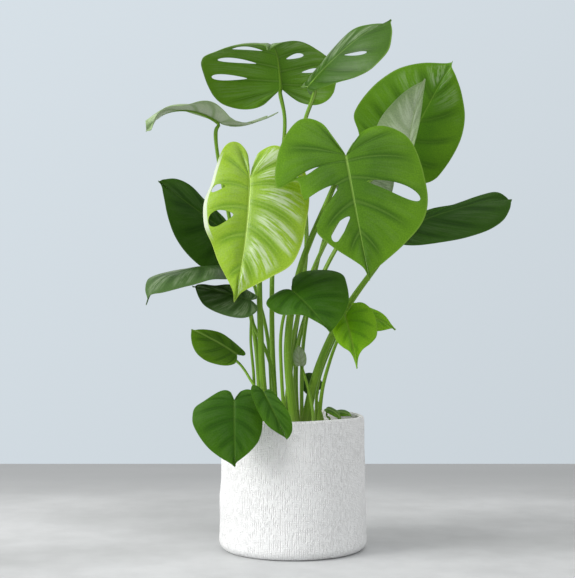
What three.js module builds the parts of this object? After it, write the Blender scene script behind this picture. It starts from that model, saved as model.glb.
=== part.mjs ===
// Split-leaf philodendron in a textured ceramic cover pot.
// Millimetres, +Z up. The origin is the centre of the pot's flat underside.
// Places of leaves and stems are given from the middle of the soil's surface.

import * as THREE from 'three';

// Pot
const potHeight = 179;
const potFootRadius = 100;
const potRimRadius = 95;
const potWall = 6;
const potFloor = 9;
const footRounding = 12;
const potSides = 48;
// Soil
const soilBelowRim = 29;
const fitGap = 0.3;
// Plant: heights and reaches in the lists below belong to a plant this tall above its soil
const plantHeight = 560;
const listedPlantHeight = 560;
const leafThickness = 1.2;
const petioleSides = 6;
const petioleSteps = 14;

const soilTop = potHeight - soilBelowRim;
const plantScale = plantHeight / listedPlantHeight;
// What hangs over the rim keeps its distance from the pot, whatever the pot's radius
const listedRimRadius = 95;
const rimShift = potRimRadius - listedRimRadius;

// Half outlines of a blade, from the sinus at the petiole round to the tip:
// [share of the half width, share of the midrib's length]
const outlines = {
  broad: [
    [0.1, -0.08], [0.28, -0.24], [0.55, -0.27], [0.82, -0.15], [0.96, 0.06], [1, 0.28],
    [0.97, 0.47], [0.82, 0.64], [0.53, 0.78], [0.24, 0.88], [0.05, 0.94], [0, 1],
  ],
  round: [
    [0.1, -0.08], [0.28, -0.24], [0.55, -0.27], [0.82, -0.15], [0.96, 0.06], [1, 0.28],
    [0.98, 0.48], [0.88, 0.66], [0.64, 0.8], [0.32, 0.89], [0.06, 0.94], [0, 1],
  ],
  ovate: [
    [0.1, -0.03], [0.3, -0.12], [0.6, -0.12], [0.85, 0.02], [0.98, 0.22], [1, 0.4], [0.92, 0.57],
    [0.7, 0.74], [0.38, 0.88], [0.08, 0.95], [0, 1],
  ],
  blunt: [
    [0.1, -0.03], [0.2, -0.03], [0.33, 0.04], [0.52, 0.16], [0.74, 0.34], [0.94, 0.52],
    [0.97, 0.69], [0.77, 0.86], [0.36, 0.955], [0.07, 0.985], [0, 1],
  ],
  full: [
    [0.04, -0.1], [0.14, -0.23], [0.46, -0.275], [0.82, -0.16], [1, 0], [1.06, 0.17],
    [1.03, 0.35], [0.98, 0.52], [0.85, 0.66], [0.55, 0.765], [0.27, 0.85], [0.08, 0.92], [0, 1],
  ],
  slim: [
    [0.02, -0.1], [0.06, -0.22], [0.26, -0.315], [0.48, -0.31], [0.66, -0.23], [0.78, -0.1],
    [0.9, 0.03], [1, 0.15], [1.02, 0.28], [0.92, 0.44], [0.75, 0.56], [0.55, 0.7], [0.32, 0.81],
    [0.1, 0.91], [0, 1],
  ],
  notched: [
    [0.1, -0.08], [0.28, -0.27], [0.58, -0.31], [0.9, -0.12], [1.02, 0.165], [0.72, 0.15],
    [0.71, 0.38], [0.63, 0.5], [0.55, 0.61], [0.38, 0.72], [0.18, 0.82], [0.05, 0.9], [0, 1],
  ],
  lean: [
    [0.1, -0.06], [0.35, -0.12], [0.7, -0.1], [0.95, 0], [1, 0.14], [0.93, 0.28], [0.78, 0.45],
    [0.58, 0.62], [0.38, 0.77], [0.2, 0.88], [0.06, 0.95], [0, 1],
  ],
  lance: [
    [0.08, -0.03], [0.3, -0.11], [0.6, -0.1], [0.86, 0.05], [1, 0.27], [0.95, 0.47], [0.77, 0.64],
    [0.5, 0.79], [0.22, 0.9], [0.05, 0.96], [0, 1],
  ],
  hood: [
    [0.1, -0.05], [0.3, -0.14], [0.55, -0.12], [0.78, 0.03], [0.97, 0.13], [1, 0.24],
    [0.96, 0.41], [0.87, 0.56], [0.7, 0.71], [0.42, 0.85], [0.12, 0.95], [0, 1],
  ],
  late: [
    [0.1, -0.02], [0.35, -0.03], [0.62, 0.06], [0.82, 0.2], [0.95, 0.38], [1, 0.56], [0.93, 0.74],
    [0.7, 0.88], [0.35, 0.96], [0.06, 0.99], [0, 1],
  ],
  heart: [
    [0.13, -0.15], [0.3, -0.27], [0.58, -0.27], [0.85, -0.13], [1, 0.09], [0.97, 0.32],
    [0.81, 0.54], [0.54, 0.73], [0.23, 0.87], [0.055, 0.94], [0, 1],
  ],
  square: [
    [0.1, -0.1], [0.28, -0.25], [0.55, -0.28], [0.86, -0.18], [1.15, -0.04], [1.26, 0.13],
    [1.12, 0.36], [0.95, 0.56], [0.77, 0.72], [0.5, 0.85], [0.19, 0.94], [0.04, 0.97], [0, 1],
  ],
  taper: [
    [0.1, -0.06], [0.35, -0.16], [0.7, -0.17], [0.95, -0.08], [1.02, 0.06], [0.95, 0.2],
    [0.76, 0.33], [0.52, 0.45], [0.3, 0.58], [0.14, 0.74], [0.05, 0.88], [0, 1],
  ],
  drip: [
    [0.1, -0.1], [0.35, -0.24], [0.65, -0.24], [0.9, -0.08], [1, 0.12], [0.98, 0.32],
    [0.85, 0.48], [0.58, 0.6], [0.3, 0.68], [0.13, 0.78], [0.05, 0.89], [0, 1],
  ],
  slope: [
    [0.04, -0.05], [0.12, -0.14], [0.32, -0.14], [0.68, -0.02], [0.94, 0.08], [1, 0.22],
    [0.97, 0.36], [0.82, 0.55], [0.62, 0.72], [0.38, 0.845], [0.13, 0.94], [0, 1],
  ],
};

// The leaves, each with its petiole. Pairs give the left half, then the right, seen from the
// petiole with the face up. A split is [place round the margin, inner end, outer end, half width].
const leaves = [
  {
    name: 'top_left', colour: '#4f7d28', outline: ['broad', 'round'],
    length: 165, halfWidth: [80, 106], lobe: [0.58, 0.76], rows: 14,
    base: [-16, 60, 479], tip: [-34, -80, 510], face: [0.1, 0.42, 1],
    arch: 27, sway: 0, fold: [6, 6], curl: [-30, -34], lobeDrop: 0,
    splits: [
      [[0.47, 0.35, 0.65, 0.016], [0.62, 0.15, 0.5, 0.024]],
      [[0.42, 0.42, 0.9, 0.017], [0.55, 0.28, 0.78, 0.022], [0.695, 0.22, 0.7, 0.026]],
    ],
    stalk: {
      foot: [-22, -4], bottom: 4.2, top: 2.6,
      via: [[-28, 8, 130], [-26, 30, 280], [-11, 50, 433]],
    },
  },
  {
    name: 'top_right', colour: '#4c7a22', outline: ['ovate', 'blunt'],
    length: 150, halfWidth: [31, 54], lobe: [0.6, 1], rows: 14,
    base: [19, -60, 464], tip: [121, -120, 542], face: [-0.3, -0.72, 0.62],
    arch: 7, sway: 0, fold: [-4, -4], curl: [-24, -20], lobeDrop: 0,
    tipDrop: 8,
    splits: [
      [],
      [[0.7, 0.18, 0.66, 0.013]],
    ],
    stalk: {
      foot: [-12, 34], bottom: 3.6, top: 2.6,
      via: [[2, 34, 129], [18, 4, 252], [13, -40, 409]],
    },
  },
  {
    name: 'upper_left', colour: '#5f8a3e', outline: ['ovate', 'ovate'],
    length: 118, halfWidth: [42, 42], lobe: [3.8, 3.8], rows: 9, columns: 3,
    base: [-100, 40, 429], tip: [-202, -5, 416], face: [-0.05, -0.02, 1],
    arch: 21, sway: 0, fold: [22, 22], curl: [-30, -30], lobeDrop: -13,
    tipDrop: 8,
    stalk: {
      foot: [-44, 4], bottom: 3.8, top: 2.6,
      via: [[-50, 12, 123], [-82, 60, 267], [-106, 44, 402]],
    },
  },
  {
    name: 'new_bright', colour: '#8fbe2c', outline: ['full', 'slim'],
    length: 160, halfWidth: [74, 57], lobe: [1, 1], rows: 14,
    base: [-56, -80, 342], tip: [-75, -110, 182], face: [-0.1, -1, 0.12],
    arch: 6, sway: -5, fold: [12, 12], curl: [-20, -30], lobeDrop: 0,
    splits: [
      [],
      [[0.47, 0.55, 0.9, 0.023], [0.63, 0.32, 0.9, 0.032]],
    ],
    stalk: {
      foot: [-34, -22], bottom: 5, top: 3,
      via: [[-41, -22, 88], [-44, -40, 178], [-46, -62, 276]],
    },
  },
  {
    name: 'large_front', colour: '#4a7b22', outline: ['broad', 'notched'],
    length: 166, halfWidth: [94, 91], lobe: [0.75, 1.12], rows: 14,
    base: [66, -125, 367], tip: [94, -160, 209], face: [0, -1, 0.22],
    arch: 6, sway: 1, fold: [6, 6], curl: [-20, -20], lobeDrop: 0,
    splits: [
      [[0.55, 0.2, 0.9, 0.028]],
      [[0.4, 0.5, 0.9, 0.018], [0.55, 0.25, 1, 0.07], [0.73, 0.22, 0.9, 0.024]],
    ],
    stalk: {
      foot: [2, -20], bottom: 6.2, top: 3,
      via: [[-7, -26, 124], [8, -44, 221], [47, -98, 319]],
    },
  },
  {
    name: 'folded_right', colour: '#7d9c5c', outline: ['lean', 'lance'],
    length: 105, halfWidth: [52, 10], lobe: [0.6, 0.4], rows: 9, columns: 3,
    base: [152, -20, 379], tip: [173, -50, 475], face: [-0.5, -0.85, 0.25],
    arch: 6, sway: 0, fold: [20, 0], curl: [-20, -20], lobeDrop: 0,
    stalk: {
      foot: [-6, 12], bottom: 3.4, top: 2.4,
      via: [[-1, 6, 123], [28, 0, 227], [90, -10, 332]],
    },
  },
  {
    name: 'tall_right', colour: '#4f8414', outline: ['hood', 'broad'],
    length: 155, halfWidth: [88, 64], lobe: [0.6, 0.5], rows: 14, columns: 4,
    base: [149, 50, 381], tip: [222, 60, 516], face: [0.05, -0.95, 0.2],
    arch: 8, sway: 0, fold: [4, 0], curl: [-20, -24], lobeDrop: 0,
    stalk: {
      foot: [6, 28], bottom: 3.4, top: 2.6,
      via: [[7, 30, 122], [47, 44, 231], [110, 56, 330]],
    },
  },
  {
    name: 'behind_front', colour: '#8a9d7c', outline: ['ovate', 'ovate'],
    length: 88, halfWidth: [40, 40], lobe: [0.8, 0.8], rows: 7, columns: 3,
    base: [80, 0, 373], tip: [127, 40, 308], face: [0, 0.9, 0.2],
    arch: 4, sway: 0, fold: [0, 0], curl: [-20, -20], lobeDrop: 0,
    stalk: {
      foot: [12, 12], bottom: 2.8, top: 2,
      via: [[14, 16, 123], [34, 18, 236], [58, -12, 318], [70, -16, 353]],
    },
  },
  {
    name: 'far_right', colour: '#2a4a18', outline: ['late', 'late'],
    length: 168, halfWidth: [17, 44], lobe: [0.7, 0.7], rows: 14, columns: 4,
    base: [139, 0, 277], tip: [291, -30, 322], face: [-0.15, -0.8, 0.5],
    arch: 10, sway: 0, fold: [-10, 0], curl: [-20, -20], lobeDrop: 0,
    tipDrop: 8,
    stalk: {
      foot: [16, -6], bottom: 7, top: 3,
      via: [[32, -6, 87], [68, -8, 167], [116, -4, 235]],
    },
  },
  {
    name: 'dark_left', colour: '#2a4a18', outline: ['heart', 'blunt'],
    length: 130, halfWidth: [61, 24], lobe: [0.5, 0.5], rows: 9, columns: 4,
    base: [-81, 30, 269], tip: [-182, -5, 344], face: [0.1, -0.9, 0.35],
    arch: 2, sway: 0, fold: [5, 5], curl: [-20, -20], lobeDrop: 0,
    stalk: {
      foot: [-28, 14], bottom: 3, top: 2.2,
      via: [[-34, 20, 129], [-51, 30, 198], [-70, 36, 244]],
    },
  },
  {
    name: 'low_left', colour: '#2f551b', outline: ['ovate', 'ovate'],
    length: 135, halfWidth: [47, 47], lobe: [0.7, 0.7], rows: 9, columns: 3,
    base: [-90, -20, 230], tip: [-194, -105, 200], face: [0, -0.25, 1],
    arch: 8, sway: 0, fold: [4, -5], curl: [-30, -34], lobeDrop: 0,
    tipDrop: 24,
    stalk: {
      foot: [-20, -18], bottom: 2.8, top: 2.2,
      via: [[-31, -12, 101], [-52, -14, 149], [-72, -14, 203]],
    },
  },
  {
    name: 'under_left', colour: '#2b4c19', outline: ['broad', 'lance'],
    length: 85, halfWidth: [33, 16], lobe: [0.7, 0.7], rows: 8, columns: 3,
    base: [-56, -60, 185], tip: [-134, -30, 203], face: [0, -0.75, 0.6],
    arch: 2, sway: 0, fold: [5, 5], curl: [-20, -30], lobeDrop: 0,
    stalk: {
      foot: [-57, -6], bottom: 2.4, top: 1.8,
      via: [[-52, -18, 71], [-56, -32, 131], [-55, -48, 165]],
    },
  },
  {
    name: 'centre', colour: '#2f5a17', outline: ['square', 'taper'],
    length: 84, halfWidth: [60, 38], lobe: [1, 0.8], rows: 9, columns: 4,
    base: [-2, -90, 198], tip: [47, -130, 143], face: [0.1, -0.9, 0.5],
    arch: 6, sway: 0, fold: [5, 5], curl: [-25, -30], lobeDrop: 0,
    stalk: {
      foot: [-10, -42], bottom: 2.6, top: 2,
      via: [[-15, -44, 79], [-16, -56, 139], [-9, -76, 174]],
    },
  },
  {
    name: 'low_right', colour: '#5e961a', outline: ['drip', 'drip'],
    length: 75, halfWidth: [40, 22], lobe: [0.9, 0.6], rows: 8, columns: 3,
    base: [68, -70, 164], tip: [82, -95, 97], face: [0.1, -0.9, 0.4],
    arch: 4, sway: 0, fold: [10, 10], curl: [-30, -30], lobeDrop: 0,
    stalk: {
      foot: [34, -12], bottom: 3, top: 2,
      via: [[39, -18, 64], [49, -34, 105], [59, -54, 135]],
    },
  },
  {
    name: 'low_right_back', colour: '#6aa024', outline: ['broad', 'broad'],
    length: 58, halfWidth: [14, 22], lobe: [0.6, 0.6], rows: 6, columns: 2,
    base: [84, -25, 172], tip: [136, -35, 145], face: [0.1, -0.7, 0.6],
    arch: 3, sway: 0, fold: [5, 5], curl: [-20, -20], lobeDrop: 0,
    stalk: {
      foot: [32, 16], bottom: 2.4, top: 1.8,
      via: [[34, 16, 68], [53, 12, 123], [71, -6, 157]],
    },
  },
  {
    name: 'small_left', colour: '#39681d', outline: ['late', 'broad'],
    length: 68, halfWidth: [31, 15], lobe: [0.5, 0.7], rows: 7, columns: 3,
    base: [-75, -20, 112], tip: [-134, -45, 146], face: [0, -0.85, 0.5],
    arch: 4, sway: 0, fold: [5, 5], curl: [-20, -20], lobeDrop: 0,
    stalk: {
      foot: [-58, -30], bottom: 2.2, top: 1.6,
      via: [[-49, -38, 62], [-59, -24, 82], [-70, -12, 97]],
    },
  },
  {
    name: 'over_rim_left', colour: '#2f5d18', outline: ['broad', 'slope'],
    length: 90, halfWidth: [36, 54], lobe: [0.6, 1], rows: 9, columns: 4,
    base: [-75, -112, 58], tip: [-73, -128, -24], face: [0, -1, 0.25],
    arch: 5, sway: 0, fold: [5, 5], curl: [-20, -20], lobeDrop: 0,
    overRim: true,
    stalk: {
      foot: [-42, -42], bottom: 2.4, top: 1.8,
      via: [[-46, -62, 34], [-58, -86, 52], [-68, -100, 58]],
    },
  },
  {
    name: 'over_rim_centre', colour: '#33611c', outline: ['late', 'broad'],
    length: 66, halfWidth: [16, 18], lobe: [0.1, 0.8], rows: 7, columns: 3,
    base: [-37, -122, 69], tip: [-8, -138, 11], face: [0.1, -1, 0.2],
    arch: 3, sway: 0, fold: [20, 20], curl: [-20, -20], lobeDrop: 0,
    overRim: true,
    stalk: {
      foot: [-26, -50], bottom: 2.2, top: 1.6,
      via: [[-27, -64, 32], [-31, -86, 52], [-33, -106, 62]],
    },
  },
  {
    name: 'seedling_left', colour: '#4c8423', outline: ['ovate', 'ovate'],
    length: 22, halfWidth: [9, 9], lobe: [0.6, 0.6], rows: 5, columns: 2,
    base: [46, 0, 38], tip: [65, -6, 24], face: [0.2, -0.4, 0.9],
    arch: 3, sway: 0, fold: [0, 0], curl: [-20, -20], lobeDrop: 0,
    stalk: {
      foot: [49, -8], bottom: 1.6, top: 1.3,
      via: [[50, -8, 16], [49, -6, 25]],
    },
  },
  {
    name: 'seedling_right', colour: '#4c8423', outline: ['ovate', 'ovate'],
    length: 23, halfWidth: [8, 8], lobe: [0.6, 0.6], rows: 5, columns: 2,
    base: [58, 12, 32], tip: [80, 4, 27], face: [0.1, -0.5, 0.85],
    arch: 3, sway: 0, fold: [0, 0], curl: [-20, -20], lobeDrop: 0,
    stalk: {
      foot: [58, 14], bottom: 1.5, top: 1.2,
      via: [[58, 14.5, 18]],
    },
  },
  {
    name: 'small_pale', colour: '#9cb780', outline: ['ovate', 'ovate'],
    length: 28, halfWidth: [9, 9], lobe: [0.4, 0.4], rows: 5, columns: 2,
    base: [10, -12, 97], tip: [7, -17, 124], face: [0, -1, 0.3],
    arch: 1, sway: 0, fold: [5, 5], curl: [-20, -20], lobeDrop: 0,
    stalk: {
      foot: [26, -30], bottom: 2.4, top: 1.8,
      via: [[27, -28, 26], [22, -20, 59], [14, -14, 87]],
    },
  },
  {
    name: 'small_dark', colour: '#38611f', outline: ['ovate', 'ovate'],
    length: 34, halfWidth: [17, 15], lobe: [0.5, 0.5], rows: 6, columns: 2,
    base: [36, 52, 59], tip: [10, 44, 80], face: [0.3, -0.9, 0.4],
    arch: 2, sway: 0, fold: [5, 5], curl: [-20, -20], lobeDrop: 0,
    stalk: {
      foot: [42, 46], bottom: 2, top: 1.6,
      via: [[41, 47, 18], [37, 50, 34]],
    },
  },
];

const petioleRise = 10; // a petiole leaves the soil straight up for this far
const petioleNeck = 10; // and meets its blade square to it over this length

// A listed leaf at the plant's real scale
function placedLeaf(listed) {
  const place = ([x, y, z]) => {
    const scaled = [x * plantScale, y * plantScale, z * plantScale];
    return listed.overRim ? [scaled[0], y - rimShift, scaled[2]] : scaled;
  };
  const thickness = (radius) => radius * plantScale;
  return {
    ...listed,
    base: place(listed.base),
    tip: place(listed.tip),
    length: listed.length * plantScale,
    halfWidth: listed.halfWidth.map((width) => width * plantScale),
    arch: listed.arch * plantScale,
    sway: listed.sway * plantScale,
    lobeDrop: listed.lobeDrop * plantScale,
    tipDrop: (listed.tipDrop ?? 0) * plantScale,
    splits: listed.splits ?? [[], []],
    stalk: {
      foot: listed.stalk.foot.map((value) => value * plantScale),
      via: listed.stalk.via.map(place),
      bottom: thickness(listed.stalk.bottom),
      top: thickness(listed.stalk.top),
      rise: petioleRise,
      neck: petioleNeck,
    },
  };
}

const outlineCurves = {};
for (const [name, points] of Object.entries(outlines)) {
  const corners = points.map(([across, along]) => new THREE.Vector3(across, along, 0));
  outlineCurves[name] = new THREE.CatmullRomCurve3(corners, false, 'catmullrom');
}

const veinFan = 0.28; // share of the outline whose veins all leave from the petiole
const veinSpread = 1.6; // how the other veins crowd towards the base of the midrib
const veinBow = 0.07; // how far a vein bows back towards the base, in midrib lengths
const veinMiddle = 0.55; // share of the way across that a vein's middle point lies
const lastRoot = 0.985; // share of the midrib at which the last veins leave it
const fullLobe = 0.27; // how far a full lobe reaches back past the base, in midrib lengths
const tipStart = 0.65; // share of the midrib after which a drooping tip turns down

// A point of the flat blade: t runs round the margin, r from the midrib out to it.
// Each vein is a quadratic curve from its place on the midrib to its place on the margin.
function flatPoint(leaf, side, t, r) {
  const margin = outlineCurves[leaf.outline[side]].getPoint(t);
  const across = margin.x * leaf.halfWidth[side];
  const lobe = margin.y < 0 ? leaf.lobe[side] : 1;
  const along = margin.y * lobe * leaf.length;
  const share = Math.max(0, (t - veinFan) / (1 - veinFan));
  const root = lastRoot * leaf.length * share ** veinSpread;
  const bow = veinBow * leaf.length * Math.sin(Math.PI * t);
  const middleAcross = veinMiddle * across;
  const middleAlong = (root + along) / 2 - bow;
  const a = 2 * r * (1 - r) * middleAcross + r * r * across;
  const b = (1 - r) ** 2 * root + 2 * r * (1 - r) * middleAlong + r * r * along;
  return [a, b];
}

// The blade's own axes: where it starts, the way its midrib runs, and the side its face looks to
function bladeFrame(leaf) {
  const start = new THREE.Vector3(...leaf.base);
  const end = new THREE.Vector3(...leaf.tip);
  const along = end.clone().sub(start).normalize();
  const face = new THREE.Vector3(...leaf.face);
  face.addScaledVector(along, -face.dot(along)).normalize();
  const across = new THREE.Vector3().crossVectors(along, face);
  const crown = start.clone().add(end).multiplyScalar(0.5);
  crown.addScaledVector(face, 2 * leaf.arch).addScaledVector(across, 2 * leaf.sway);
  return { start, end, face, crown };
}

// Bends a flat point into the blade's real shape: the midrib is a quadratic curve from base to tip
// over its crown, and each half leaves it at its fold and turns down by its curl towards the margin.
function bentPoint(leaf, side, a, b) {
  const { start, end, face, crown } = bladeFrame(leaf);
  const s = THREE.MathUtils.clamp(b / leaf.length, 0, 1);
  const middle = new THREE.QuadraticBezierCurve3(start, crown, end);
  const spot = middle.getPoint(s);
  const tangent = crown.clone().sub(start).multiplyScalar(2 * (1 - s));
  tangent.addScaledVector(end.clone().sub(crown), 2 * s).normalize();
  spot.addScaledVector(tangent, Math.min(b, 0));
  const across = new THREE.Vector3().crossVectors(tangent, face).normalize();
  const up = new THREE.Vector3().crossVectors(across, tangent);
  const fold = THREE.MathUtils.degToRad(leaf.fold[side]);
  const bend = THREE.MathUtils.degToRad(leaf.curl[side]) / leaf.halfWidth[side];
  const sideways = (Math.sin(fold + bend * a) - Math.sin(fold)) / bend;
  const lift = (Math.cos(fold) - Math.cos(fold + bend * a)) / bend;
  const lobeShare = Math.min(b, 0) / (fullLobe * leaf.length);
  const tipShare = Math.max(0, s - tipStart) / (1 - tipStart);
  spot.addScaledVector(across, (side === 0 ? -1 : 1) * sideways);
  spot.addScaledVector(up, lift - leaf.lobeDrop * lobeShare ** 2 - leaf.tipDrop * tipShare ** 2);
  return spot;
}

const splitSkew = 0.4; // how much wider a closed split is towards the margin

// Half the width of a split at r, in shares of the outline: a drop shape where the margin closes it,
// and widening from its inner end where it is open
function splitGap([, inner, outer, half], r) {
  if (r <= inner) {
    return 0;
  }
  if (outer >= 1) {
    return half * Math.sqrt((r - inner) / (1 - inner));
  }
  const offset = (r - (inner + outer) / 2) / ((outer - inner) / 2);
  return half * Math.sqrt(Math.max(0, 1 - offset ** 2)) * (1 + splitSkew * offset);
}

// Where a blade's surface is sampled along its veins. The last stop before the margin is the outer
// end of the longest closed split, which leaves a whole band of blade outside it.
const splitStops = [0, 0.3, 0.55, 0.75, 0.9, 1];

function veinStops(leaf) {
  if (leaf.splits.flat().length > 0) {
    return splitStops;
  }
  return Array.from({ length: leaf.columns + 1 }, (_, j) => j / leaf.columns);
}

// The blade's middle surface as one sheet: rows of t cross both halves, and a split parts its row
function bladeSheet(leaf) {
  const marks = [...new Set([0, ...leaf.splits.flat().map((split) => split[0]), 1])];
  marks.sort((p, q) => p - q);
  const points = [];
  const places = new Map();
  const faces = [];
  const stops = veinStops(leaf);
  const vertex = (side, t, r) => {
    const spot = bentPoint(leaf, side, ...flatPoint(leaf, side, t, r));
    const key = spot.toArray().map((value) => value.toFixed(3)).join();
    if (!places.has(key)) {
      places.set(key, points.length);
      points.push(spot);
    }
    return places.get(key);
  };
  for (const side of [0, 1]) {
    const gapAt = (mark, r) => {
      const split = leaf.splits[side].find((one) => one[0] === mark);
      return split ? splitGap(split, r) : 0;
    };
    for (let m = 0; m + 1 < marks.length; m += 1) {
      const rows = Math.max(1, Math.round(leaf.rows * (marks[m + 1] - marks[m])));
      const corner = (i, j) => {
        const r = stops[j];
        const from = marks[m] + gapAt(marks[m], r);
        const to = marks[m + 1] - gapAt(marks[m + 1], r);
        return vertex(side, from + ((to - from) * i) / rows, r);
      };
      for (let i = 0; i < rows; i += 1) {
        for (let j = 0; j + 1 < stops.length; j += 1) {
          const quad = [corner(i, j), corner(i, j + 1), corner(i + 1, j + 1), corner(i + 1, j)];
          if (side === 0) {
            quad.reverse();
          }
          faces.push([quad[0], quad[1], quad[2]], [quad[0], quad[2], quad[3]]);
        }
      }
    }
  }
  const whole = faces.filter(([p, q, r]) => p !== q && q !== r && r !== p);
  return { points, faces: whole };
}

// A sheet given its thickness: the face side, the underside and a wall along every open edge
function thickSheet({ points, faces }, thickness) {
  const normals = points.map(() => new THREE.Vector3());
  for (const [p, q, r] of faces) {
    const edge = points[q].clone().sub(points[p]);
    const normal = edge.cross(points[r].clone().sub(points[p]));
    for (const corner of [p, q, r]) {
      normals[corner].add(normal);
    }
  }
  const under = points.map((point, i) => {
    return point.clone().addScaledVector(normals[i].normalize(), -thickness);
  });
  const triangles = [];
  const open = new Map();
  const count = points.length;
  for (const [p, q, r] of faces) {
    triangles.push([p, q, r], [r + count, q + count, p + count]);
    for (const [from, to] of [[p, q], [q, r], [r, p]]) {
      const back = `${to},${from}`;
      if (open.has(back)) {
        open.delete(back);
      } else {
        open.set(`${from},${to}`, [from, to]);
      }
    }
  }
  for (const [from, to] of open.values()) {
    triangles.push([to, from, from + count], [to, from + count, to + count]);
  }
  const geometry = new THREE.BufferGeometry().setFromPoints([...points, ...under]);
  geometry.setIndex(triangles.flat());
  geometry.computeVertexNormals();
  return geometry;
}

// Where a petiole meets its blade: just under it, square to it
function petioleEnd(leaf) {
  const { start, face, crown } = bladeFrame(leaf);
  const tangent = crown.clone().sub(start).normalize();
  const across = new THREE.Vector3().crossVectors(tangent, face).normalize();
  const up = new THREE.Vector3().crossVectors(across, tangent);
  const steepest = Math.max(0, ...leaf.fold.map((fold) => -fold));
  const droop = leaf.stalk.top * Math.tan(THREE.MathUtils.degToRad(steepest));
  const depth = leafThickness + fitGap + droop;
  const end = start.clone().addScaledVector(up, -depth);
  return { end, before: end.clone().addScaledVector(up, -leaf.stalk.neck) };
}

// A petiole: rings of a radius that tapers from its foot on the soil to its neck under the blade
function petioleGeometry(leaf) {
  const { stalk } = leaf;
  const foot = new THREE.Vector3(stalk.foot[0], stalk.foot[1], fitGap);
  const rise = foot.clone().setZ(fitGap + stalk.rise);
  const via = stalk.via.map((point) => new THREE.Vector3(...point));
  const { end, before } = petioleEnd(leaf);
  const path = new THREE.CatmullRomCurve3([foot, rise, ...via, before, end], false, 'centripetal');
  const steps = petioleSteps;
  const spots = [];
  const tangents = [];
  for (let i = 0; i <= steps; i += 1) {
    spots.push(path.getPoint(i / steps));
    tangents.push(path.getTangent(i / steps));
  }
  tangents[0].set(0, 0, 1);
  tangents[steps].copy(end).sub(before).normalize();
  const side = new THREE.Vector3(1, 0, 0);
  const points = [];
  for (let i = 0; i <= steps; i += 1) {
    side.addScaledVector(tangents[i], -side.dot(tangents[i])).normalize();
    const other = new THREE.Vector3().crossVectors(tangents[i], side);
    const radius = THREE.MathUtils.lerp(stalk.bottom, stalk.top, i / steps);
    for (let k = 0; k < petioleSides; k += 1) {
      const angle = (2 * Math.PI * k) / petioleSides;
      const spot = spots[i].clone().addScaledVector(side, radius * Math.cos(angle));
      points.push(spot.addScaledVector(other, radius * Math.sin(angle)));
    }
  }
  const triangles = [];
  for (let i = 0; i < steps; i += 1) {
    for (let k = 0; k < petioleSides; k += 1) {
      const next = (k + 1) % petioleSides;
      const low = i * petioleSides;
      const high = low + petioleSides;
      triangles.push([low + k, low + next, high + next], [low + k, high + next, high + k]);
    }
  }
  const last = steps * petioleSides;
  for (let k = 1; k + 1 < petioleSides; k += 1) {
    triangles.push([0, k + 1, k], [last, last + k, last + k + 1]);
  }
  const geometry = new THREE.BufferGeometry().setFromPoints(points);
  geometry.setIndex(triangles.flat());
  geometry.computeVertexNormals();
  return geometry;
}

// Radius of the pot's outer wall at a height
function potRadius(height) {
  return THREE.MathUtils.lerp(potFootRadius, potRimRadius, height / potHeight);
}

function lathe(profile) {
  const points = profile.map(([radius, height]) => new THREE.Vector2(radius, height));
  return new THREE.LatheGeometry(points, potSides).rotateX(Math.PI / 2);
}

// The pot: a rounded foot, a wall that leans in a little, a rounded rim and a hollow inside
function potGeometry() {
  const profile = [[0, 0]];
  const footSteps = 4;
  for (let i = 0; i <= footSteps; i += 1) {
    const angle = (Math.PI / 2) * (i / footSteps);
    const radius = potRadius(footRounding) - footRounding * (1 - Math.sin(angle));
    profile.push([radius, footRounding * (1 - Math.cos(angle))]);
  }
  const lipRadius = potWall / 2;
  const lipHeight = potHeight - lipRadius;
  const lipMiddle = potRadius(lipHeight) - lipRadius;
  const lipSteps = 4;
  for (let i = 0; i <= lipSteps; i += 1) {
    const angle = Math.PI * (i / lipSteps);
    profile.push([lipMiddle + lipRadius * Math.cos(angle), lipHeight + lipRadius * Math.sin(angle)]);
  }
  profile.push([potRadius(potFloor) - potWall, potFloor], [0, potFloor]);
  return lathe(profile);
}

// The soil fills the pot from its floor to a level a little below the rim
function soilGeometry() {
  const bottom = potFloor + fitGap;
  const inset = potWall + fitGap;
  return lathe([
    [0, bottom],
    [potRadius(bottom) - inset, bottom],
    [potRadius(soilTop) - inset, soilTop],
    [0, soilTop],
  ]);
}

function material(colour, roughness) {
  return new THREE.MeshStandardMaterial({ color: colour, roughness, metalness: 0 });
}

const object = new THREE.Group();

function addPiece(parent, name, geometry, finish) {
  const piece = new THREE.Mesh(geometry, finish);
  piece.name = name;
  parent.add(piece);
}

addPiece(object, 'pot', potGeometry(), material('#f3f2ef', 0.8));
addPiece(object, 'soil', soilGeometry(), material('#3a2a1e', 0.95));

const plant = new THREE.Group();
plant.position.z = soilTop;
object.add(plant);

for (const listed of leaves) {
  const leaf = placedLeaf(listed);
  const blade = thickSheet(bladeSheet(leaf), leafThickness);
  addPiece(plant, `leaf_${leaf.name}`, blade, material(leaf.colour, 0.4));
  addPiece(plant, `petiole_${leaf.name}`, petioleGeometry(leaf), material('#7ba53c', 0.5));
}

export default object;
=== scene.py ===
"""Split-leaf philodendron in a textured ceramic cover pot: blades, stalks, pot, soil and stage."""

import bpy
import numpy as np
from mathutils import Matrix, Vector


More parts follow.
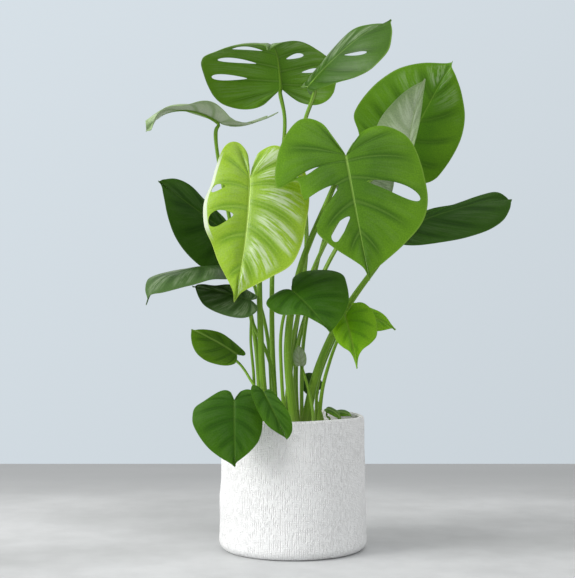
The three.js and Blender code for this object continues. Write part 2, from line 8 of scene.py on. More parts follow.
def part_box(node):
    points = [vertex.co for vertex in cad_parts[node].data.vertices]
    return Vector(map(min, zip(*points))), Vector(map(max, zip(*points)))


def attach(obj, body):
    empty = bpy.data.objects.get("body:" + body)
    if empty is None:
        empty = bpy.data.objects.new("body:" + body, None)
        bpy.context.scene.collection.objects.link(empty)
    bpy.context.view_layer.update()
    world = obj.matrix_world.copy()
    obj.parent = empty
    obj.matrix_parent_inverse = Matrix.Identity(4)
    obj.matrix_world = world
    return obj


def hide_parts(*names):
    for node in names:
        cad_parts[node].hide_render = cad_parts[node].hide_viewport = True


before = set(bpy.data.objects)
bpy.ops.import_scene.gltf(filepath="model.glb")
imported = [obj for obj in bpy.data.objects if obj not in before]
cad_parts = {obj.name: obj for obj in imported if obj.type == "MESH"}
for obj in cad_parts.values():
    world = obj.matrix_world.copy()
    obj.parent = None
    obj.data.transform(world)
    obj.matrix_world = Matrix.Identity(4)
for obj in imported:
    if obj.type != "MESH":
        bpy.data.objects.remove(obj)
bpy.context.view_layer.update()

bl_info = {
    "name": "Potted split-leaf plant",
    "version": (1, 0, 0),
    "blender": (4, 5, 0),
    "location": "View3D > Sidebar > Plant",
    "description": "Builds the blades, stalks, cover pot and soil of a potted split-leaf plant",
    "category": "Add Mesh",
}

MM = 0.001
SOIL_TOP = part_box("soil")[1].z / MM  # the leaf list counts its heights from here
POT_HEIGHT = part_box("pot")[1].z / MM
POT_FOOT_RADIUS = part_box("pot")[1].x / MM
POT_RIM_RADIUS = 95.0
POT_WALL = 6.0
POT_FLOOR = 9.0
FOOT_ROUNDING = 12.0

# Half outlines of a blade, from the sinus at the stalk round to the tip:
# (share of the half width, share of the midrib's length)
OUTLINES = {
    "broad": [
        (0.1, -0.08), (0.28, -0.24), (0.55, -0.27), (0.82, -0.15), (0.96, 0.06), (1, 0.28),
        (0.97, 0.47), (0.82, 0.64), (0.53, 0.78), (0.24, 0.88), (0.05, 0.94), (0, 1),
    ],
    "round": [
        (0.1, -0.08), (0.28, -0.24), (0.55, -0.27), (0.82, -0.15), (0.96, 0.06), (1, 0.28),
        (0.98, 0.48), (0.88, 0.66), (0.64, 0.8), (0.32, 0.89), (0.06, 0.94), (0, 1),
    ],
    "ovate": [
        (0.1, -0.03), (0.3, -0.12), (0.6, -0.12), (0.85, 0.02), (0.98, 0.22), (1, 0.4),
        (0.92, 0.57), (0.7, 0.74), (0.38, 0.88), (0.08, 0.95), (0, 1),
    ],
    "blunt": [
        (0.1, -0.03), (0.2, -0.03), (0.33, 0.04), (0.52, 0.16), (0.74, 0.34), (0.94, 0.52),
        (0.97, 0.69), (0.77, 0.86), (0.36, 0.955), (0.07, 0.985), (0, 1),
    ],
    "full": [
        (0.04, -0.1), (0.14, -0.23), (0.46, -0.275), (0.82, -0.16), (1, 0), (1.06, 0.17),
        (1.03, 0.35), (0.98, 0.52), (0.85, 0.66), (0.55, 0.765), (0.27, 0.85), (0.08, 0.92),
        (0, 1),
    ],
    "slim": [
        (0.02, -0.1), (0.06, -0.22), (0.26, -0.315), (0.48, -0.31), (0.66, -0.23), (0.78, -0.1),
        (0.9, 0.03), (1, 0.15), (1.02, 0.28), (0.92, 0.44), (0.75, 0.56), (0.55, 0.7),
        (0.32, 0.81), (0.1, 0.91), (0, 1),
    ],
    "notched": [
        (0.1, -0.08), (0.28, -0.27), (0.58, -0.31), (0.9, -0.12), (1.02, 0.165), (0.72, 0.15),
        (0.71, 0.38), (0.63, 0.5), (0.55, 0.61), (0.38, 0.72), (0.18, 0.82), (0.05, 0.9), (0, 1),
    ],
    "lean": [
        (0.1, -0.06), (0.35, -0.12), (0.7, -0.1), (0.95, 0), (1, 0.14), (0.93, 0.28),
        (0.78, 0.45), (0.58, 0.62), (0.38, 0.77), (0.2, 0.88), (0.06, 0.95), (0, 1),
    ],
    "lance": [
        (0.08, -0.03), (0.3, -0.11), (0.6, -0.1), (0.86, 0.05), (1, 0.27), (0.95, 0.47),
        (0.77, 0.64), (0.5, 0.79), (0.22, 0.9), (0.05, 0.96), (0, 1),
    ],
    "hood": [
        (0.1, -0.05), (0.3, -0.14), (0.55, -0.12), (0.78, 0.03), (0.97, 0.13), (1, 0.24),
        (0.96, 0.41), (0.87, 0.56), (0.7, 0.71), (0.42, 0.85), (0.12, 0.95), (0, 1),
    ],
    "late": [
        (0.1, -0.02), (0.35, -0.03), (0.62, 0.06), (0.82, 0.2), (0.95, 0.38), (1, 0.56),
        (0.93, 0.74), (0.7, 0.88), (0.35, 0.96), (0.06, 0.99), (0, 1),
    ],
    "heart": [
        (0.13, -0.15), (0.3, -0.27), (0.58, -0.27), (0.85, -0.13), (1, 0.09), (0.97, 0.32),
        (0.81, 0.54), (0.54, 0.73), (0.23, 0.87), (0.055, 0.94), (0, 1),
    ],
    "square": [
        (0.1, -0.1), (0.28, -0.25), (0.55, -0.28), (0.86, -0.18), (1.15, -0.04), (1.26, 0.13),
        (1.12, 0.36), (0.95, 0.56), (0.77, 0.72), (0.5, 0.85), (0.19, 0.94), (0.04, 0.97),
        (0, 1),
    ],
    "taper": [
        (0.1, -0.06), (0.35, -0.16), (0.7, -0.17), (0.95, -0.08), (1.02, 0.06), (0.95, 0.2),
        (0.76, 0.33), (0.52, 0.45), (0.3, 0.58), (0.14, 0.74), (0.05, 0.88), (0, 1),
    ],
    "drip": [
        (0.1, -0.1), (0.35, -0.24), (0.65, -0.24), (0.9, -0.08), (1, 0.12), (0.98, 0.32),
        (0.85, 0.48), (0.58, 0.6), (0.3, 0.68), (0.13, 0.78), (0.05, 0.89), (0, 1),
    ],
    "slope": [
        (0.04, -0.05), (0.12, -0.14), (0.32, -0.14), (0.68, -0.02), (0.94, 0.08), (1, 0.22),
        (0.97, 0.36), (0.82, 0.55), (0.62, 0.72), (0.38, 0.845), (0.13, 0.94), (0, 1),
    ],
}

# What most leaves share
USUAL = {
    "sway": 0, "curl": (-20, -20), "lobe_drop": 0, "tip_drop": 0,
    "veins": 6, "vein_shift": (0.3, 0.3), "quilt": 0.5, "splits": ([], []),
}

# The leaves, in millimetres from the middle of the soil's surface. Pairs give the left half, then
# the right, seen from the stalk with the face up. A split is (place round the margin, inner end,
# outer end, half width). "finish" names the leaf's colours and "veins" how many cross each half.
LISTED = [
    {
        "name": "top_left", "slot": "leaf_mid", "finish": "deep",
        "outline": ("broad", "round"), "length": 165, "half_width": (80, 106), "lobe": (0.58, 0.76),
        "base": (-16, 60, 479), "tip": (-34, -80, 510), "face": (0.1, 0.42, 1),
        "arch": 27, "fold": (6, 6), "curl": (-30, -34),
        "veins": 7, "vein_shift": (0.35, 0.1), "quilt": 0.9,
        "splits": (
            [(0.47, 0.35, 0.65, 0.016), (0.62, 0.15, 0.5, 0.024)],
            [(0.42, 0.42, 0.9, 0.017), (0.55, 0.28, 0.78, 0.022), (0.695, 0.22, 0.7, 0.026)],
        ),
        "stalk": {
            "foot": (-22, -4), "bottom": 4.2, "top": 2.6,
            "via": [(-28, 8, 130), (-26, 30, 280), (-11, 50, 433)],
        },
    },
    {
        "name": "top_right", "slot": "leaf_mid", "finish": "sheen_streaked",
        "outline": ("ovate", "blunt"), "length": 150, "half_width": (31, 54), "lobe": (0.6, 1),
        "base": (19, -60, 464), "tip": (121, -120, 542), "face": (-0.3, -0.72, 0.62),
        "arch": 7, "fold": (-4, -4), "curl": (-24, -20),
        "tip_drop": 8,
        "veins": 7, "vein_shift": (0, 0), "quilt": 0.6,
        "splits": (
            [],
            [(0.7, 0.18, 0.66, 0.013)],
        ),
        "stalk": {
            "foot": (-12, 34), "bottom": 3.6, "top": 2.6,
            "via": [(2, 34, 129), (18, 4, 252), (13, -40, 409)],
        },
    },
    {
        "name": "upper_left", "slot": "leaf_mid", "finish": "grey",
        "outline": ("ovate", "ovate"), "length": 118, "half_width": (42, 42), "lobe": (3.8, 3.8),
        "base": (-100, 40, 429), "tip": (-202, -5, 416), "face": (-0.05, -0.02, 1),
        "arch": 21, "fold": (22, 22), "curl": (-30, -30), "lobe_drop": -13,
        "tip_drop": 8,
        "stalk": {
            "foot": (-44, 4), "bottom": 3.8, "top": 2.6,
            "via": [(-50, 12, 123), (-82, 60, 267), (-106, 44, 402)],
        },
    },
    {
        "name": "new_bright", "slot": "leaf_bright", "finish": "bright",
        "outline": ("full", "slim"), "length": 160, "half_width": (74, 57), "lobe": (1, 1),
        "base": (-56, -80, 342), "tip": (-75, -110, 182), "face": (-0.1, -1, 0.12),
        "arch": 6, "sway": -5, "fold": (12, 12), "curl": (-20, -30),
        "veins": 7, "vein_shift": (0.2, 0.9), "quilt": 1.7,
        "splits": (
            [],
            [(0.47, 0.55, 0.9, 0.023), (0.63, 0.32, 0.9, 0.032)],
        ),
        "stalk": {
            "foot": (-34, -22), "bottom": 5, "top": 3,
            "via": [(-41, -22, 88), (-44, -40, 178), (-46, -62, 276)],
        },
    },
    {
        "name": "large_front", "slot": "leaf_mid", "finish": "mid",
        "outline": ("broad", "notched"), "length": 166, "half_width": (94, 91), "lobe": (0.75, 1.12),
        "base": (66, -125, 367), "tip": (94, -160, 209), "face": (0, -1, 0.22),
        "arch": 6, "sway": 1, "fold": (6, 6),
        "veins": 7, "vein_shift": (0.29, 0.27), "quilt": 0.7,
        "splits": (
            [(0.55, 0.2, 0.9, 0.028)],
            [(0.4, 0.5, 0.9, 0.018), (0.55, 0.25, 1, 0.07), (0.73, 0.22, 0.9, 0.024)],
        ),
        "stalk": {
            "foot": (2, -20), "bottom": 6.2, "top": 3,
            "via": [(-7, -26, 124), (8, -44, 221), (47, -98, 319)],
        },
    },
    {
        "name": "folded_right", "slot": "leaf_pale", "finish": "pale",
        "outline": ("lean", "lance"), "length": 105, "half_width": (52, 10), "lobe": (0.6, 0.4),
        "base": (152, -20, 379), "tip": (173, -50, 475), "face": (-0.5, -0.85, 0.25),
        "arch": 6, "fold": (20, 0),
        "stalk": {
            "foot": (-6, 12), "bottom": 3.4, "top": 2.4,
            "via": [(-1, 6, 123), (28, 0, 227), (90, -10, 332)],
        },
    },
    {
        "name": "tall_right", "slot": "leaf_mid", "finish": "tall",
        "outline": ("hood", "broad"), "length": 155, "half_width": (88, 64), "lobe": (0.6, 0.5),
        "base": (149, 50, 381), "tip": (222, 60, 516), "face": (0.05, -0.95, 0.2),
        "arch": 8, "fold": (4, 0), "curl": (-20, -24),
        "veins": 7, "quilt": 0.4,
        "stalk": {
            "foot": (6, 28), "bottom": 3.4, "top": 2.6,
            "via": [(7, 30, 122), (47, 44, 231), (110, 56, 330)],
        },
    },
    {
        "name": "behind_front", "slot": "leaf_pale", "finish": "pale",
        "outline": ("ovate", "ovate"), "length": 88, "half_width": (40, 40), "lobe": (0.8, 0.8),
        "base": (80, 0, 373), "tip": (127, 40, 308), "face": (0, 0.9, 0.2),
        "arch": 4, "fold": (0, 0),
        "stalk": {
            "foot": (12, 12), "bottom": 2.8, "top": 2,
            "via": [(14, 16, 123), (34, 18, 236), (58, -12, 318), (70, -16, 353)],
        },
    },
    {
        "name": "far_right", "slot": "leaf_dark", "finish": "dark",
        "outline": ("late", "late"), "length": 168, "half_width": (17, 44), "lobe": (0.7, 0.7),
        "base": (139, 0, 277), "tip": (291, -30, 322), "face": (-0.15, -0.8, 0.5),
        "arch": 10, "fold": (-10, 0),
        "tip_drop": 8,
        "stalk": {
            "foot": (16, -6), "bottom": 7, "top": 3,
            "via": [(32, -6, 87), (68, -8, 167), (116, -4, 235)],
        },
    },
    {
        "name": "dark_left", "slot": "leaf_dark", "finish": "dark",
        "outline": ("heart", "blunt"), "length": 130, "half_width": (61, 24), "lobe": (0.5, 0.5),
        "base": (-81, 30, 269), "tip": (-182, -5, 344), "face": (0.1, -0.9, 0.35),
        "arch": 2, "fold": (5, 5),
        "quilt": 0.3,
        "stalk": {
            "foot": (-28, 14), "bottom": 3, "top": 2.2,
            "via": [(-34, 20, 129), (-51, 30, 198), (-70, 36, 244)],
        },
    },
    {
        "name": "low_left", "slot": "leaf_dark", "finish": "sheen_dark",
        "outline": ("ovate", "ovate"), "length": 135, "half_width": (47, 47), "lobe": (0.7, 0.7),
        "base": (-90, -20, 230), "tip": (-194, -105, 200), "face": (0, -0.25, 1),
        "arch": 8, "fold": (4, -5), "curl": (-30, -34),
        "tip_drop": 24,
        "stalk": {
            "foot": (-20, -18), "bottom": 2.8, "top": 2.2,
            "via": [(-31, -12, 101), (-52, -14, 149), (-72, -14, 203)],
        },
    },
    {
        "name": "under_left", "slot": "leaf_dark", "finish": "sheen_dark",
        "outline": ("broad", "lance"), "length": 85, "half_width": (33, 16), "lobe": (0.7, 0.7),
        "base": (-56, -60, 185), "tip": (-134, -30, 203), "face": (0, -0.75, 0.6),
        "arch": 2, "fold": (5, 5), "curl": (-20, -30),
        "stalk": {
            "foot": (-57, -6), "bottom": 2.4, "top": 1.8,
            "via": [(-52, -18, 71), (-56, -32, 131), (-55, -48, 165)],
        },
    },
    {
        "name": "centre", "slot": "leaf_dark", "finish": "shade",
        "outline": ("square", "taper"), "length": 84, "half_width": (60, 38), "lobe": (1, 0.8),
        "base": (-2, -90, 198), "tip": (47, -130, 143), "face": (0.1, -0.9, 0.5),
        "arch": 6, "fold": (5, 5), "curl": (-25, -30),
        "quilt": 0.25,
        "stalk": {
            "foot": (-10, -42), "bottom": 2.6, "top": 2,
            "via": [(-15, -44, 79), (-16, -56, 139), (-9, -76, 174)],
        },
    },
    {
        "name": "low_right", "slot": "leaf_bright", "finish": "fresh",
        "outline": ("drip", "drip"), "length": 75, "half_width": (40, 22), "lobe": (0.9, 0.6),
        "base": (68, -70, 164), "tip": (82, -95, 97), "face": (0.1, -0.9, 0.4),
        "arch": 4, "fold": (10, 10), "curl": (-30, -30),
        "quilt": 0.3,
        "stalk": {
            "foot": (34, -12), "bottom": 3, "top": 2,
            "via": [(39, -18, 64), (49, -34, 105), (59, -54, 135)],
        },
    },
    {
        "name": "low_right_back", "slot": "leaf_bright", "finish": "fresh",
        "outline": ("broad", "broad"), "length": 58, "half_width": (14, 22), "lobe": (0.6, 0.6),
        "base": (84, -25, 172), "tip": (136, -35, 145), "face": (0.1, -0.7, 0.6),
        "arch": 3, "fold": (5, 5),
        "stalk": {
            "foot": (32, 16), "bottom": 2.4, "top": 1.8,
            "via": [(34, 16, 68), (53, 12, 123), (71, -6, 157)],
        },
    },
    {
        "name": "small_left", "slot": "leaf_dark", "finish": "mid",
        "outline": ("late", "broad"), "length": 68, "half_width": (31, 15), "lobe": (0.5, 0.7),
        "base": (-75, -20, 112), "tip": (-134, -45, 146), "face": (0, -0.85, 0.5),
        "arch": 4, "fold": (5, 5),
        "quilt": 0.4,
        "stalk": {
            "foot": (-58, -30), "bottom": 2.2, "top": 1.6,
            "via": [(-49, -38, 62), (-59, -24, 82), (-70, -12, 97)],
        },
    },
    {
        "name": "over_rim_left", "slot": "leaf_dark", "finish": "shade",
        "outline": ("broad", "slope"), "length": 90, "half_width": (36, 54), "lobe": (0.6, 1),
        "base": (-75, -112, 58), "tip": (-73, -128, -24), "face": (0, -1, 0.25),
        "arch": 5, "fold": (5, 5),
        "quilt": 0.35,
        "stalk": {
            "foot": (-42, -42), "bottom": 2.4, "top": 1.8,
            "via": [(-46, -62, 34), (-58, -86, 52), (-68, -100, 58)],
        },
    },
    {
        "name": "over_rim_centre", "slot": "leaf_dark", "finish": "shade",
        "outline": ("late", "broad"), "length": 66, "half_width": (16, 18), "lobe": (0.1, 0.8),
        "base": (-37, -122, 69), "tip": (-8, -138, 11), "face": (0.1, -1, 0.2),
        "arch": 3, "fold": (20, 20),
        "quilt": 0.4,
        "stalk": {
            "foot": (-26, -50), "bottom": 2.2, "top": 1.6,
            "via": [(-27, -64, 32), (-31, -86, 52), (-33, -106, 62)],
        },
    },
    {
        "name": "seedling_left", "slot": "leaf_mid", "finish": "mid",
        "outline": ("ovate", "ovate"), "length": 22, "half_width": (9, 9), "lobe": (0.6, 0.6),
        "base": (46, 0, 38), "tip": (65, -6, 24), "face": (0.2, -0.4, 0.9),
        "arch": 3, "fold": (0, 0),
        "stalk": {
            "foot": (49, -8), "bottom": 1.6, "top": 1.3,
            "via": [(50, -8, 16), (49, -6, 25)],
        },
    },
    {
        "name": "seedling_right", "slot": "leaf_mid", "finish": "mid",
        "outline": ("ovate", "ovate"), "length": 23, "half_width": (8, 8), "lobe": (0.6, 0.6),
        "base": (58, 12, 32), "tip": (80, 4, 27), "face": (0.1, -0.5, 0.85),
        "arch": 3, "fold": (0, 0),
        "stalk": {
            "foot": (58, 14), "bottom": 1.5, "top": 1.2,
            "via": [(58, 14.5, 18)],
        },
    },
    {
        "name": "small_pale", "slot": "leaf_pale", "finish": "pale",
        "outline": ("ovate", "ovate"), "length": 28, "half_width": (9, 9), "lobe": (0.4, 0.4),
        "base": (10, -12, 97), "tip": (7, -17, 124), "face": (0, -1, 0.3),
        "arch": 1, "fold": (5, 5),
        "stalk": {
            "foot": (26, -30), "bottom": 2.4, "top": 1.8,
            "via": [(27, -28, 26), (22, -20, 59), (14, -14, 87)],
        },
    },
    {
        "name": "small_dark", "slot": "leaf_dark", "finish": "dark",
        "outline": ("ovate", "ovate"), "length": 34, "half_width": (17, 15), "lobe": (0.5, 0.5),
        "base": (36, 52, 59), "tip": (10, 44, 80), "face": (0.3, -0.9, 0.4),
        "arch": 2, "fold": (5, 5),
        "stalk": {
            "foot": (42, 46), "bottom": 2, "top": 1.6,
            "via": [(41, 47, 18), (37, 50, 34)],
        },
    },
]
FIRST_SEED = 11
LEAVES = [{**USUAL, "seed": FIRST_SEED + place, **leaf} for place, leaf in enumerate(LISTED)]

VEIN_FAN = 0.28  # share of the outline whose veins all leave from the stalk
VEIN_SPREAD = 1.6  # how the other veins crowd towards the base of the midrib
VEIN_BOW = 0.07  # how far a vein bows back towards the base, in midrib lengths
VEIN_MIDDLE = 0.55  # how far across a vein's middle point lies, as a share of its end's
LAST_ROOT = 0.985  # share of the midrib where the vein nearest the tip leaves it
FULL_LOBE = 0.27  # share of the midrib's length that a full lobe reaches back
TIP_START = 0.65  # share of the midrib after which a drooping tip turns down
NECK = 2.6  # how far under its blade a stalk turns into the rib, in millimetres


def unit(vectors):
    """Vectors divided by their own lengths."""
    vectors = np.asarray(vectors, float)
    return vectors / np.linalg.norm(vectors, axis=-1, keepdims=True)


def smoothstep(low, high, value):
    """3x^2 - 2x^3 of the value's clamped share of the way from low to high."""
    x = np.clip((value - low) / (high - low), 0, 1)
    return x * x * (3 - 2 * x)


def through(points, t, even=True):
    """A Catmull-Rom curve through points at shares t of its stretches.

    Even curves take half the chord of the two neighbours as each point's slope; uneven ones weigh
    the neighbours by the square roots of their distances, which keeps long stretches from swinging.
    """
    points = np.asarray(points, float)
    count = len(points) - 1
    x = np.clip(t, 0, 1) * count
    i = np.minimum(np.floor(x).astype(int), count - 1)
    f = (x - i)[..., None]
    ends = np.vstack([2 * points[0] - points[1], points, 2 * points[-1] - points[-2]])
    p0, p1, p2, p3 = ends[i], ends[i + 1], ends[i + 2], ends[i + 3]
    if even:
        out, into = (p2 - p0) / 2, (p3 - p1) / 2
    else:
        def gap(a, b):
            return np.maximum(np.linalg.norm(a - b, axis=-1, keepdims=True) ** 0.5, 1e-4)

        g0, g1, g2 = gap(p0, p1), gap(p1, p2), gap(p2, p3)
        out = ((p1 - p0) / g0 - (p2 - p0) / (g0 + g1) + (p2 - p1) / g1) * g1
        into = ((p2 - p1) / g1 - (p3 - p1) / (g1 + g2) + (p3 - p2) / g2) * g1
    a = 2 * (p1 - p2) + out + into
    b = 3 * (p2 - p1) - 2 * out - into
    return ((a * f + b) * f + out) * f + p1


def lumps(seed, waves, *coordinates, turns=0):
    """A smooth random field: the mean of sines with random directions and phases.

    Each wave count is the highest per unit of its coordinate. The first coordinate takes whole
    numbers of waves where turns is set, so that the field closes on itself.
    """
    draw = np.random.default_rng(seed)
    total = 0.0
    for _ in range(waves[0]):
        phase = draw.uniform(0, 2 * np.pi)
        for place, (coordinate, most) in enumerate(zip(coordinates, waves[1:])):
            rate = draw.uniform(-most, most)
            if turns and place == 0:
                rate = round(rate)
            phase = phase + 2 * np.pi * rate * coordinate
        total = total + np.sin(phase)
    return total / np.sqrt(waves[0] / 2)


# Blades


def flat_point(leaf, side, t, r):
    """A point of the flat blade: t runs round the margin, r from the midrib out to it.

    Each vein is a quadratic curve from its place on the midrib, over a middle point that bows
    back, to its place on the margin. The result is (across, along) in millimetres.
    """
    half = 0 if side < 0 else 1
    margin = through(OUTLINES[leaf["outline"][half]], t)
    lobe = np.where(margin[..., 1] < 0, leaf["lobe"][half], 1.0)
    across = margin[..., 0] * leaf["half_width"][half]
    along = margin[..., 1] * lobe * leaf["length"]
    share = np.clip((t - VEIN_FAN) / (1 - VEIN_FAN), 0, 1)
    root = LAST_ROOT * leaf["length"] * share**VEIN_SPREAD
    bow = VEIN_BOW * leaf["length"] * np.sin(np.pi * t)
    middle = 0.5 * (root + along) - bow
    a = 2 * r * (1 - r) * VEIN_MIDDLE * across + r * r * across
    b = (1 - r) ** 2 * root + 2 * r * (1 - r) * middle + r * r * along
    return a, b


def blade_frame(leaf):
    """Where the blade starts and ends, the side its face looks to, and its crown."""
    start, end = np.array(leaf["base"], float), np.array(leaf["tip"], float)
    along = unit(end - start)
    face = np.array(leaf["face"], float)
    face = unit(face - face.dot(along) * along)
    across = np.cross(along, face)
    crown = (start + end) / 2 + 2 * leaf["arch"] * face + 2 * leaf["sway"] * across
    return start, end, face, crown


def midrib(leaf, s):
    """Places of the midrib, a quadratic curve from base to tip over the crown, with its axes."""
    start, end, face, crown = blade_frame(leaf)
    s = np.asarray(s, float)[..., None]
    spot = (1 - s) ** 2 * start + 2 * s * (1 - s) * crown + s * s * end
    tangent = unit(2 * (1 - s) * (crown - start) + 2 * s * (end - crown))
    across = unit(np.cross(tangent, face))
    return spot, tangent, across, np.cross(across, tangent)


def tip_droop(leaf, s):
    """How far a drooping tip has turned down: the square of the way past the droop's start."""
    return leaf["tip_drop"] * np.clip((s - TIP_START) / (1 - TIP_START), 0, 1) ** 2


def bent_point(leaf, side, a, b, lift):
    """A flat point in the blade's real shape.

    Each half leaves the midrib at its fold and turns down by its curl towards the margin on a
    circular arc as long as the flat blade is wide; lift moves it along the local normal.
    """
    half = 0 if side < 0 else 1
    spot, tangent, across, up = midrib(leaf, np.clip(b / leaf["length"], 0, 1))
    spot = spot + tangent * np.minimum(b, 0)[..., None]
    fold = np.radians(leaf["fold"][half])
    bend = np.radians(leaf["curl"][half]) / leaf["half_width"][half]
    turn = fold + bend * a
    sideways = (np.sin(turn) - np.sin(fold)) / bend - lift * np.sin(turn)
    rise = (np.cos(fold) - np.cos(turn)) / bend + lift * np.cos(turn)
    rise = rise - leaf["lobe_drop"] * (np.minimum(b, 0) / (FULL_LOBE * leaf["length"])) ** 2
    rise = rise - tip_droop(leaf, b / leaf["length"])
    return spot + across * (side * sideways)[..., None] + up * rise[..., None]


def split_gap(split, r):
    """Half the width of a split at r: a drop shape, an ellipse swollen towards the margin, where
    the margin closes it, and a widening root with a rounded mouth where it is open."""
    _, inner, outer, half = split
    if outer >= 1:
        mouth = 0.35 * half * smoothstep(0.9, 1.0, r) ** 2
        return half * np.sqrt(np.clip((r - inner) / (1 - inner), 0, 1)) + mouth
    offset = (r - (inner + outer) / 2) / ((outer - inner) / 2)
    return half * np.sqrt(np.clip(1 - offset**2, 0, 1)) * (1 + 0.4 * offset)


def vein_count(leaf, side, t):
    """How many lateral veins lie between the sinus and t; whole numbers are veins."""
    return leaf["veins"] * t + leaf["vein_shift"][0 if side < 0 else 1]


def relief(leaf, side, t, r, a, b, sizes):
    """Height of the blade's relief over its smooth shape, in millimetres.

    Between two veins the blade swells by a squared sine, most in the middle of its half; the
    midrib lies in a narrow trough, and the margin goes up and down in slow waves.
    """
    length = leaf["length"]
    between = np.sin(np.pi * vein_count(leaf, side, t)) ** 2
    swell = sizes.quilting / MM * leaf["quilt"] * between**0.7
    swell = swell * smoothstep(0.02, 0.45, r) * (1 - 0.55 * r**2) * min(1, length / 90)
    trough = 0.9 * np.exp(-((a / 2.2) ** 2)) * (1 - np.clip(b / length, 0, 1)) * min(1, length / 90)
    wave = sizes.margin_wave / MM * min(1, length / 120) * r**2
    seed = leaf["seed"] + (0 if side < 0 else 50)
    return swell - trough + wave * lumps(seed, (5, 3.2), t)


def blade_half(leaf, side, sizes):
    """The grids of one half: one block of rows between each two splits, sharing stops on r."""
    half = 0 if side < 0 else 1
    splits = sorted(leaf["splits"][half])
    size = leaf["length"]
    columns = int(np.clip(size / 5, 8, 30))
    rows = int(np.clip(size / 1.8, 24, 92))
    stops = [np.linspace(0, 1, columns + 1), [0.97]]
    for split in splits:
        inner, outer = split[1], min(split[2], 1.0)
        stops.append(inner + (outer - inner) * np.array([0, 0.02, 0.08, 0.92, 0.98, 1.0]))
    r_stops = np.unique(np.round(np.concatenate(stops), 4))
    lows = [np.zeros_like(r_stops)] + [s[0] + split_gap(s, r_stops) for s in splits]
    highs = [s[0] - split_gap(s, r_stops) for s in splits] + [np.ones_like(r_stops)]
    for low, high in zip(lows, highs):
        count = max(3, int(round(rows * (high - low).mean())))
        step = np.linspace(0, 1, count + 1)[:, None]
        t = low * (1 - step) + high * step
        r = np.broadcast_to(r_stops, t.shape)
        a, b = flat_point(leaf, side, t, r)
        points = bent_point(leaf, side, a, b, relief(leaf, side, t, r, a, b, sizes))
        maps = {
            "Veins": np.stack([0.5 + 0.5 * side * r, vein_count(leaf, side, t)], -1),
            "Blade": np.stack([side * a, b], -1) * MM * 10,
        }
        yield points, maps


# Meshes


def grid_triangles(rows, columns, turned=False):
    """Two triangles for each cell of a grid of points, wound so that rows x columns looks out."""
    i, j = np.meshgrid(np.arange(rows - 1), np.arange(columns - 1), indexing="ij")
    first = (i * columns + j).ravel()
    corners = np.stack([first, first + 1, first + columns + 1, first + columns], -1)
    if turned:
        corners = corners[:, ::-1]
    return np.concatenate([corners[:, [0, 1, 2]], corners[:, [0, 2, 3]]])


def new_piece(name, grids, finishes, keep_sharp=False):
    """One mesh object out of grids (points in mm, maps, turned, material place).

    Points that fall together are merged and the triangles that collapse there are dropped.
    """
    points, triangles, places, maps, count = [], [], [], {}, 0
    for spots, charts, turned, place in grids:
        rows, columns = spots.shape[:2]
        corners = grid_triangles(rows, columns, turned) + count
        triangles.append(corners)
        places.append(np.full(len(corners), place))
        points.append(spots.reshape(-1, 3))
        for chart, values in charts.items():
            maps.setdefault(chart, []).append(values.reshape(-1, 2))
        count += rows * columns
    points = np.concatenate(points)
    corners = np.concatenate(triangles)
    places = np.concatenate(places)
    kept, merged = np.unique(np.round(points, 3), axis=0, return_inverse=True)
    joined = merged.reshape(-1)[corners]
    whole = (
        (joined[:, 0] != joined[:, 1])
        & (joined[:, 1] != joined[:, 2])
        & (joined[:, 2] != joined[:, 0])
    )
    corners, joined, places = corners[whole], joined[whole], places[whole]
    mesh = bpy.data.meshes.new(name)
    mesh.vertices.add(len(kept))
    mesh.vertices.foreach_set("co", (kept * MM).astype(np.float32).ravel())
    mesh.loops.add(joined.size)
    mesh.loops.foreach_set("vertex_index", joined.astype(np.int32).ravel())
    mesh.polygons.add(len(joined))
    mesh.polygons.foreach_set("loop_start", np.arange(0, joined.size, 3, dtype=np.int32))
    mesh.update(calc_edges=True)
    for chart, values in maps.items():
        layer = mesh.uv_layers.new(name=chart)
        flat = np.concatenate(values)[corners.ravel()]
        layer.data.foreach_set("uv", flat.astype(np.float32).ravel())
    mesh.polygons.foreach_set("use_smooth", np.ones(len(joined), bool))
    mesh.polygons.foreach_set("material_index", places.astype(np.int32))
    if keep_sharp:
        edge_of = np.zeros(len(mesh.loops), np.int32)
        mesh.loops.foreach_get("edge_index", edge_of)
        lone = np.bincount(edge_of, minlength=len(mesh.edges)) == 1
        mesh.edges.foreach_set("use_edge_sharp", lone)
    for finish in finishes:
        mesh.materials.append(finish)
    mesh.update()
    piece = bpy.data.objects.new(name, mesh)
    bpy.context.scene.collection.objects.link(piece)
    return piece


